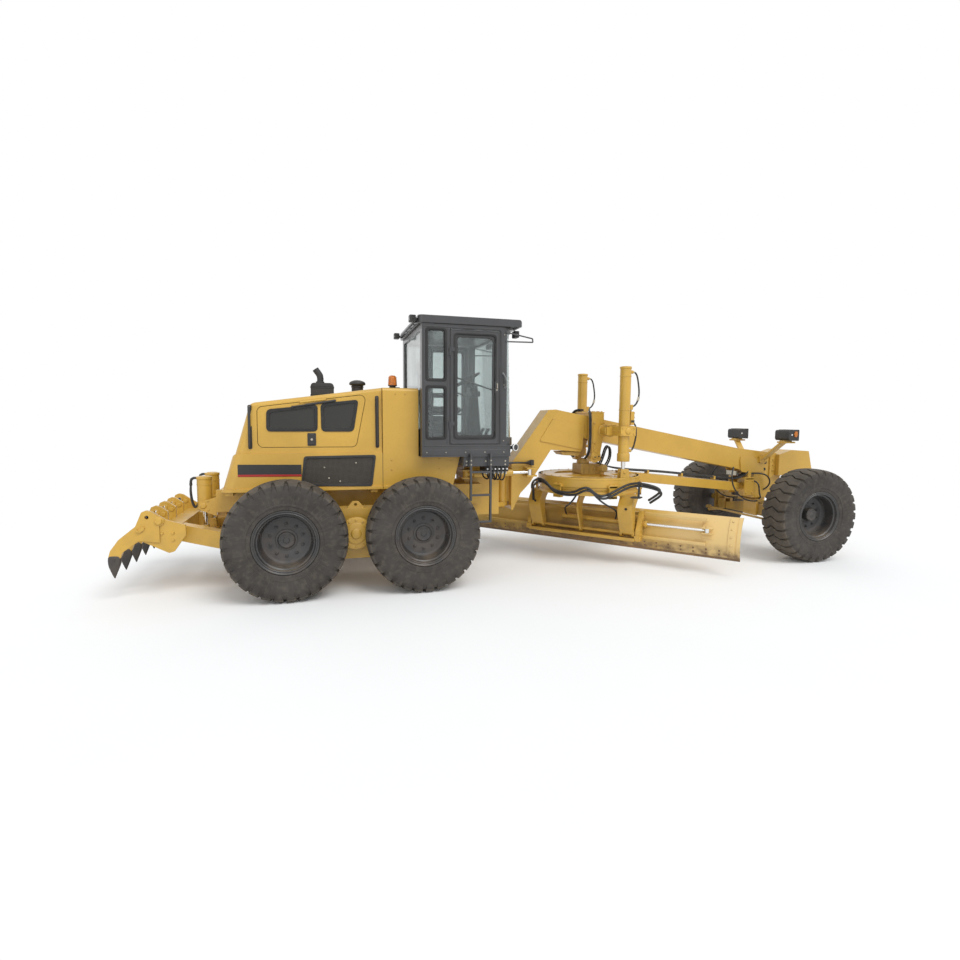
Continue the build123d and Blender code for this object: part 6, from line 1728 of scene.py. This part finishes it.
def saddle_details():
    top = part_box("saddle")[1].z
    shape = Shape()
    shape.plate(upright(3.335, 3.535, top + 0.0005, top + 0.016, 0.006), 0.020, 0.302)
    for x in (3.365, 3.435, 3.505):
        for y in (0.06, 0.19, 0.27):
            shape.bolt(at(x, y, top + 0.016), (0, 0, 1), 0.014)
    panel = rounded(
        [(3.362, 2.020), (3.516, 2.020), (3.512, 1.800), (3.452, 1.560), (3.382, 1.560), (3.362, 1.710)],
        0.030
    )
    shape.plate(panel, 0.299, 0.3085)
    for x, z in ((3.385, 1.985), (3.492, 1.985), (3.485, 1.815), (3.392, 1.700)):
        shape.bolt(at(x, 0.3085, z), (0, 1, 0), 0.013)
    for x, z, reach in ((3.382, 1.500, 0.345), (3.450, 1.508, 0.330), (3.412, 1.585, 0.322)):
        shape.turned([
            (0.0, reach), (0.022, reach), (0.027, reach - 0.006), (0.027, reach - 0.022),
            (0.036, reach - 0.024), (0.036, 0.296), (0.0, 0.296),
        ], at(x, 0, z), (0, 1, 0), 28)
    shape.plate(rounded(
        [(3.325, 1.440), (3.400, 1.415), (3.490, 1.450), (3.486, 1.560), (3.420, 1.612), (3.345, 1.560)], 0.03
    ), 0.296, 0.312)
    shape.plate(upright(3.330, 3.410, 1.430, 1.500, 0.012), 0.190, 0.292)
    for y in (0.318, 0.500):
        shape.turned([
            (0.0695, -0.014), (0.078, -0.014), (0.086, -0.008), (0.086, 0.010), (0.078, 0.016),
            (0.0695, 0.016),
        ], at(3.520, y, TRUNNION_Z), (0, 1, 0), 40)
    for angle in (0.3, 1.35, 2.4, 3.45, 4.5, 5.55):
        shape.bolt(at(3.520 + 0.10 * cos(angle), 0.301, TRUNNION_Z + 0.10 * sin(angle)), (0, 1, 0), 0.009)
    shape.turned(
        [(0.0, 0.018), (0.030, 0.016), (0.040, 0.010), (0.046, 0.0), (0.0, -0.001)],
        at(LIFT_X, 0.775, TRUNNION_Z), (0, 1, 0), 32
    )
    for x in (3.560, 3.740):
        for z in (1.838, 1.922):
            shape.bolt(at(x, 0.775, z), (0, 1, 0), 0.012)
    for y in (0.59, 0.73):
        for x, way in ((3.535, -1), (3.765, 1)):
            shape.bolt(at(x, y, TRUNNION_Z), (way, 0, 0), 0.012)
    shape.plate(upright(3.46, 3.60, 1.950, 1.962, 0.004), 0.420, 0.536)
    shape.both_sides().piece("saddle_fittings", "yellow", "front_body", 0.003)
    dark = Shape()
    for x, z in ((3.382, 1.500), (3.450, 1.508)):
        dark.turned(
            [(0.0, 0.0015), (0.009, 0.0012), (0.012, 0.0), (0.0, -0.002)],
            at(x, 0.346 if x < 3.4 else 0.331, z), (0, 1, 0), 20
        )
    dark.both_sides().piece("saddle_pin_marks", "seal", "front_body")
    for side, name in SIDES:
        for index in range(2):
            step = 0.022 * index
            line = sided(side, [
                (3.400, 0.10, top + 0.030 + step), (3.340, 0.20, top + 0.050 + step),
                (3.318 - step, 0.300, top + 0.015), (3.314 - step, 0.328, 2.02), (3.316 - step, 0.330, 1.86),
                (3.318 - step, 0.330, 1.72), (3.310 - step, 0.322, 1.60), (3.300 - step, 0.29, 1.51),
                (3.305 - step, 0.20, 1.475),
            ])
            hose(f"saddle_hose_{name}_{index}", line, 0.0105, "front_body")
    box_piece = Shape()
    box_piece.plate(
        rounded([(2.930, 1.572), (3.255, 1.572), (3.232, 1.508), (2.985, 1.520)], 0.012), -0.130, 0.130
    )
    for x, z in ((3.02, 1.545), (3.19, 1.540)):
        box_piece.bolt(at(x, -0.130, z), (0, -1, 0), 0.012)
        box_piece.bolt(at(x, 0.130, z), (0, 1, 0), 0.012)
    box_piece.piece("valve_box", "soiled", "front_body", 0.004)


def lift_details():
    """Caps, glands, valves and hoses of the two lift cylinders."""
    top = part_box("lift_cylinders")[1].z
    shape = Shape()
    fittings = Shape()
    dark = Shape()
    spot = at(LIFT_X, LIFT_Y, 0)
    shape.turned([
        (0.0, top + 0.004), (0.050, top + 0.004), (0.056, top), (0.079, top), (0.081, top - 0.006),
        (0.081, top - 0.026), (0.0752, top - 0.030), (0.0, top - 0.030),
    ], spot, (0, 0, 1), 48)
    for z in (2.62, 2.16, 1.70):
        shape.turned(
            [(0.0752, z), (0.0785, z + 0.002), (0.0785, z + 0.018), (0.0752, z + 0.020)], spot, (0, 0, 1), 48
        )
    shape.turned([
        (0.0745, 1.4605), (0.084, 1.4605), (0.0865, 1.466), (0.0865, 1.560), (0.082, 1.572), (0.0745, 1.576),
    ], spot, (0, 0, 1), 48)
    shape.plate(upright(3.722, 3.778, 1.965, 2.150, 0.008), 0.615, 0.705)
    shape.plate(upright(3.722, 3.762, 2.175, 2.245, 0.008), 0.630, 0.690)
    shape.turned(
        [(0.0, 0.045), (0.020, 0.045), (0.024, 0.038), (0.024, 0.0), (0.0, 0.0)], at(3.718, LIFT_Y, 2.690),
        (1, 0, 0), 20
    )
    shape.turned(
        [(0.0, 0.045), (0.020, 0.045), (0.024, 0.038), (0.024, 0.0), (0.0, 0.0)], at(3.718, LIFT_Y, 1.610),
        (1, 0, 0), 20
    )
    shape.both_sides().piece("lift_cylinder_fittings", "yellow", "lift_cylinders_body", 0.002)
    for z in (1.99, 2.06, 2.12):
        fittings.rod(at(3.776, 0.640, z), at(3.800, 0.640, z), 0.0115, sides=6)
        fittings.rod(at(3.776, 0.683, z + 0.01), at(3.794, 0.683, z + 0.01), 0.010, sides=6)
    fittings.rod(at(3.745, LIFT_Y, 2.148), at(3.745, LIFT_Y, 2.178), 0.016, sides=6)
    fittings.rod(at(3.762, LIFT_Y, 2.690), at(3.782, LIFT_Y, 2.690), 0.014, sides=6)
    fittings.rod(at(3.758, LIFT_Y, 1.610), at(3.776, LIFT_Y, 1.610), 0.014, sides=6)
    fittings.rod(at(3.862, LIFT_Y, 2.352), at(3.848, LIFT_Y, 2.300), 0.0165, sides=6)
    fittings.both_sides().piece("lift_hose_unions", "zinc", "lift_cylinders_body")
    dark.plate(upright(3.728, 3.7795, 2.000, 2.030, 0.004), 0.612, 0.708)
    dark.both_sides().piece("lift_valve_bands", "trim", "lift_cylinders_body")
    for side, name in SIDES:
        upper = sided(side, [
            (3.770, LIFT_Y, 2.690), (3.800, LIFT_Y, 2.688), (3.832, LIFT_Y, 2.640), (3.850, LIFT_Y, 2.540),
            (3.868, LIFT_Y, 2.430), (3.862, LIFT_Y, 2.350), (3.845, LIFT_Y, 2.290), (3.815, LIFT_Y, 2.235),
            (3.765, LIFT_Y, 2.215),
        ])
        lower = sided(side, [
            (3.790, 0.640, 1.990), (3.830, 0.640, 1.985), (3.845, 0.645, 1.920), (3.842, LIFT_Y, 1.820),
            (3.822, LIFT_Y, 1.720), (3.800, LIFT_Y, 1.640), (3.770, LIFT_Y, 1.610),
        ])
        hose(f"lift_hose_upper_{name}", upper, 0.0115, "lift_cylinders_body")
        hose(f"lift_hose_lower_{name}", lower, 0.0115, "lift_cylinders_body")


def front_details():
    shape = Shape()
    pad = bent(
        [(6.462, 1.412), (6.120, 1.474), (6.010, 1.450), (6.040, 1.230), (6.120, 1.214), (6.478, 1.216)],
        0.10, 8
    )
    shape.plate(pad, 0.160, 0.1795)
    shape.plate(upright(6.115, 6.290, 0.850, 1.120, 0.020), 0.162, 0.188)
    shape.plate(upright(6.115, 6.290, 1.100, 1.135, 0.008), 0.100, 0.188)
    shape.plate(upright(6.175, 6.235, 1.12, 1.225, 0.012), 0.130, 0.182)
    for x, z in ((6.145, 1.08), (6.26, 1.08), (6.145, 0.89), (6.26, 0.89)):
        shape.bolt(at(x, 0.188, z), (0, 1, 0), 0.012)
    gusset = rounded([(6.590, 1.480), (6.700, 1.500), (6.700, 1.170), (6.590, 1.100)], 0.02)
    shape.plate(gusset, 0.158, 0.180)
    for x, z in ((6.645, 1.42), (6.645, 1.33), (6.645, 1.24)):
        shape.bolt(at(x, 0.180, z), (0, 1, 0), 0.013)
    shape.both_sides().piece("head_plates", "yellow", "front_body", 0.005)
    # dark discs with a raised rim at the holes in the head plates: the rims, and painted shade in the holes
    dark = Shape()
    for x, z in ((6.519, 1.367), (6.505, 1.259)):
        dark.turned(
            [(0.0, 0.0), (0.019, 0.0), (0.022, 0.002), (0.024, 0.0), (0.024, -0.004), (0.0, -0.004)],
            at(x, 0.1605, z), (0, 1, 0), 28
        )
    dark.both_sides().piece("head_hole_rims_and_shade", "seal", "front_body")
    nose = Shape()
    for y in (-0.20, 0.20):
        for z in (1.28, 1.48):
            nose.bolt(at(7.30, y * 0.9, z), (1, 0, 0.2), 0.012)
    nose.piece("nose_bolts", "yellow", "front_body")
    for side, name in SIDES:
        first = sided(side, [
            (5.900, 0.172, 1.300), (5.840, 0.215, 1.240), (5.815, 0.245, 1.130), (5.835, 0.25, 1.020),
            (5.900, 0.25, 0.920), (6.000, 0.25, 0.830), (6.120, 0.25, 0.775), (6.260, 0.245, 0.752),
            (6.400, 0.20, 0.760), (6.480, 0.12, 0.80),
        ])
        second = sided(side, [
            (6.235, 0.150, 1.185), (6.300, 0.215, 1.205), (6.400, 0.240, 1.195), (6.490, 0.245, 1.165),
            (6.545, 0.245, 1.100), (6.550, 0.240, 1.020), (6.530, 0.200, 0.960), (6.500, 0.165, 0.93),
        ])
        third = sided(side, [
            (6.300, 0.150, 1.080), (6.335, 0.225, 1.060), (6.345, 0.245, 0.980), (6.350, 0.245, 0.890),
            (6.385, 0.235, 0.830), (6.440, 0.180, 0.800), (6.500, 0.12, 0.800),
        ])
        for index, line in enumerate((first, second, third)):
            hose(f"front_hose_{name}_{index}", line, 0.0115, "front_body")
    unions = Shape()
    for y in (-0.10, -0.06, 0.0, 0.05):
        unions.rod(at(6.0, y, 1.205), at(6.075, y, 1.205), 0.013, sides=6)
    unions.box(5.985, 6.010, -0.13, 0.09, 1.165, 1.235)
    unions.piece("front_unions", "zinc", "front_body")


# Rear frame, ladders and ripper

# The tops of the ladder's rungs
LADDER_RUNGS = (1.082, 1.382)


def rear_details():
    shape = Shape()
    hub = [
        (0.0, 0.868), (0.050, 0.868), (0.056, 0.864), (0.062, 0.852), (0.108, 0.850), (0.120, 0.846),
        (0.124, 0.836), (0.176, 0.834), (0.186, 0.830), (0.190, 0.820), (0.190, 0.800), (0.0, 0.800),
    ]
    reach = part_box("tandem_cases")[1].y - 0.824
    shape.turned([(radius, along + reach) for radius, along in hub], at(-0.006, 0, 0.690), (0, 1, 0), 56)
    for index in range(12):
        angle = 2 * pi * index / 12
        shape.bolt(
            at(-0.006 + 0.155 * cos(angle), 0.834 + reach, 0.690 + 0.155 * sin(angle)), (0, 1, 0), 0.011
        )
    shape.both_sides().piece("tandem_bosses", "yellow", "rear_body", 0.002)
    valves = Shape()
    unions = Shape()
    for index in range(6):
        x = 1.625 + index * 0.052
        valves.plate(upright(x, x + 0.046, 1.362, 1.432, 0.006), 0.500, 0.775)
        for y in (0.55, 0.65, 0.74):
            unions.rod(at(x + 0.023, y, 1.330), at(x + 0.023, y, 1.364), 0.012, sides=6)
        unions.rod(at(x + 0.023, 0.774, 1.398), at(x + 0.023, 0.795, 1.398), 0.011, sides=6)
    valves.box(1.61, 1.95, 0.52, 0.76, 1.428, 1.4352)
    valves.both_sides().piece("valve_bank", "trim", "rear_body", 0.002)
    # the valve unions are painted pale, painted glints on the dark valve bank under the cab
    unions.both_sides().piece("valve_unions_painted_glints", "white", "rear_body")
    for side, name in SIDES:
        for index in range(5):
            x = 1.648 + index * 0.052
            y = side * (0.55 + 0.045 * (index % 3))
            line = [
                at(x, y, 1.345), at(x, y, 1.300 - 0.008 * index),
                at(x + 0.010, y + side * 0.06, 1.262 - 0.008 * index), at(x + 0.018, side * 0.755, 1.262),
                at(x + 0.022, side * 0.787, 1.300), at(x + 0.024, side * 0.789, 1.370),
                at(x + 0.024, side * 0.789, 1.437),
            ]
            hose(f"valve_hose_{name}_{index}", line, 0.010, "rear_body")
        for index in range(3):
            step = 0.030 * index
            line = sided(side, [
                (1.900, 0.20 + step, 1.405), (1.990, 0.205 + step, 1.415), (2.080, 0.215 + step, 1.425),
                (2.180, 0.218 + step, 1.430), (2.290, 0.210 + step, 1.430),
                (2.390, 0.192 + step * 0.3, 1.420), (2.460, 0.182, 1.405 + step * 0.7),
            ])
            hose(
                f"joint_hose_{name}_{index}", line, 0.0125, "rear_body", far_body="front_body",
            )
    ends = Shape()
    ends.plate(upright(2.455, 2.505, 1.385, 1.462, 0.008), 0.1585, 0.205)
    for z in (1.405, 1.442):
        ends.rod(at(2.440, 0.180, z), at(2.456, 0.180, z), 0.016, sides=6)
    ends.both_sides().piece("joint_hose_ends", "trim", "front_body", 0.002)
    tread = Shape()
    for rung in LADDER_RUNGS:
        for index in range(9):
            x = 1.432 + index * 0.0235
            tread.box(x, x + 0.008, 0.857, 0.893, rung - 0.001, rung + 0.004)
    tread.both_sides().piece("ladder_treads", "trim", "rear_body", 0.0008)
    bolts = Shape()
    for x, z in ((1.406, 1.515), (1.663, 1.515), (1.406, 1.465), (1.663, 1.465)):
        bolts.bolt(at(x, 0.886, z), (0, 1, 0), 0.010)
    for x, z in ((1.37, 1.50), (1.88, 1.50), (1.37, 1.455), (1.88, 1.455), (1.62, 1.50)):
        bolts.bolt(at(x, 0.800, z), (0, 1, 0), 0.009)
    bolts.both_sides().piece("ladder_bolts", "zinc", "rear_body")


def ripper_details():
    teeth = Shape()
    # Sections of a tooth from its crown to its point. Columns: height, rear, front, half width
    sections = [
        (0.516, -2.606, -2.546, 0.018), (0.511, -2.622, -2.528, 0.026), (0.497, -2.632, -2.514, 0.0315),
        (0.470, -2.6355, -2.508, 0.034), (0.430, -2.634, -2.513, 0.034), (0.395, -2.629, -2.525, 0.032),
        (0.340, -2.612, -2.546, 0.024), (0.290, -2.594, -2.566, 0.014), (0.263, -2.583, -2.576, 0.007),
    ]
    for index in range(-2, 3):
        y = index * 0.365
        rings = []
        for z, x0, x1, half in sections:
            outline = rounded([(x0, -half), (x1, -half * 0.85), (x1, half * 0.85), (x0, half)], half * 0.6, 3)
            rings.append([at(px, y + py, z) for px, py in outline])
        teeth.loft(rings)
        for side in (-1, 1):
            teeth.turned(
                [(0.0, 0.004), (0.009, 0.003), (0.011, 0.0), (0.0, -0.003)],
                at(-2.572, y + side * 0.0335, 0.468), (0, side, 0), 18
            )
    piece = teeth.piece("tooth_caps", "tooth", "ripper_body", smooth=50)
    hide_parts("ripper_teeth")
    steel = Shape()
    dark = Shape()
    for index in range(-2, 3):
        y = index * 0.365
        for side in (-1, 1):
            out = y + side * 0.0228
            if abs(index) == 2 and side == index // 2:
                continue
            steel.turned(
                [(0.0205, -0.002), (0.034, -0.002), (0.034, 0.004), (0.030, 0.007), (0.0205, 0.007)],
                at(-2.241, out, 0.926), (0, side, 0), 32
            )
            steel.turned(
                [(0.0, 0.012), (0.022, 0.012), (0.027, 0.007), (0.027, 0.0), (0.0, 0.0)],
                at(-2.165, out, 0.900), (0, side, 0), 24
            )
    for side in (-1, 1):
        steel.turned(
            [(0.0205, -0.002), (0.033, -0.002), (0.033, 0.003), (0.029, 0.006), (0.0205, 0.006)],
            at(-2.241, side * 0.7378, 0.926), (0, side, 0), 32
        )
        steel.turned([
            (0.0, 0.020), (0.030, 0.020), (0.036, 0.015), (0.040, 0.004), (0.051, 0.002), (0.053, -0.006),
            (0.0, -0.006),
        ], at(-2.123, side * 0.7530, 0.878), (0, side, 0), 40)
        wedge = rounded(
            [(-2.345, 0.778), (-2.280, 0.832), (-2.262, 0.814), (-2.268, 0.790), (-2.325, 0.752)], 0.008
        )
        steel.plate(wedge, side * 0.7372, side * 0.7700)
        steel.plate(
            rounded([(-2.352, 0.786), (-2.338, 0.800), (-2.318, 0.772), (-2.330, 0.760)], 0.004),
            side * 0.7372, side * 0.7760
        )
    for x, z in ((-2.10, 0.74), (-1.99, 0.74), (-1.99, 0.66)):
        for side in (-1, 1):
            steel.bolt(at(x, side * 0.7375, z), (0, side, 0), 0.015)
    steel.piece("ripper_pins", "yellow", "ripper_body", 0.002)
    for side in (-1, 1):
        dark.turned(
            [(0.0, 0.0), (0.0198, 0.0), (0.0198, 0.002), (0.0, 0.002)], at(-2.241, side * 0.700, 0.926),
            (0, side, 0), 24
        )
    dark.piece("ripper_hole_shade", "seal", "ripper_body")
    brackets = Shape()
    for y in (0.1365, 0.3635):
        side = -1 if y < 0.25 else 1
        brackets.turned(
            [(0.0, 0.014), (0.028, 0.012), (0.036, 0.004), (0.038, 0.0), (0.0, -0.001)], at(-1.745, y, 0.980),
            (0, side, 0), 28
        )
        for x, z in ((-1.690, 1.035), (-1.690, 0.925)):
            brackets.bolt(at(x, y, z), (0, side, 0), 0.010)
    brackets.both_sides()
    brackets.plate(upright(-1.632, -1.6205, 0.842, 1.088, 0.003), 0.395, 0.405)
    brackets.piece("ripper_bracket_pins", "yellow", "rear_body", 0.002)
    caps = Shape()
    caps.turned([
        (0.0, 1.326), (0.060, 1.326), (0.066, 1.321), (0.0865, 1.319), (0.0885, 1.313), (0.0885, 1.292),
        (0.0832, 1.288), (0.0, 1.288),
    ], at(-1.745, 0.250, 0), (0, 0, 1), 44)
    caps.turned(
        [(0.0825, 0.932), (0.0885, 0.936), (0.0885, 0.958), (0.0832, 0.962)], at(-1.745, 0.250, 0), (0, 0, 1),
        44
    )
    caps.turned(
        [(0.0832, 1.215), (0.0855, 1.217), (0.0855, 1.231), (0.0832, 1.233)], at(-1.745, 0.250, 0), (0, 0, 1),
        44
    )
    caps.both_sides().piece("ripper_cylinder_caps", "yellow", "ripper_cylinders_body", 0.002)
    elbows = Shape()
    for y in (-0.250, 0.250):
        elbows.pipe([
            at(-1.822, y, 1.304), at(-1.860, y, 1.304), at(-1.884, y, 1.290), at(-1.892, y, 1.262),
            at(-1.893, y, 1.225),
        ], 0.015, 14)
        elbows.rod(at(-1.893, y, 1.240), at(-1.893, y, 1.215), 0.019, sides=6)
    elbows.piece("ripper_elbows", "trim", "ripper_cylinders_body")
    for side, name in SIDES:
        for index in range(2):
            y = 0.250 + 0.030 * index
            line = sided(side, [
                (-1.893, 0.250, 1.225), (-1.898, y, 1.150), (-1.888, y, 1.060), (-1.876, y, 0.995),
                (-1.858, y, 0.955), (-1.842, y, 0.952), (-1.830, 0.250, 0.970), (-1.824, 0.250, 0.995),
            ])
            hose(f"ripper_hose_{name}_{index}", line, 0.0115, "ripper_cylinders_body")


make_camera()
make_stage()
dress_nodes()
make_tyres()
make_rims()
hood_details()
roof_items()
headlamps()
work_lamps()
beacon()
cab_details()
cab_inside()
circle_group()
blade_details()
carrier_details()
blade_hoses()
drawbar_details()
saddle_details()
lift_details()
front_details()
rear_details()
ripper_details()
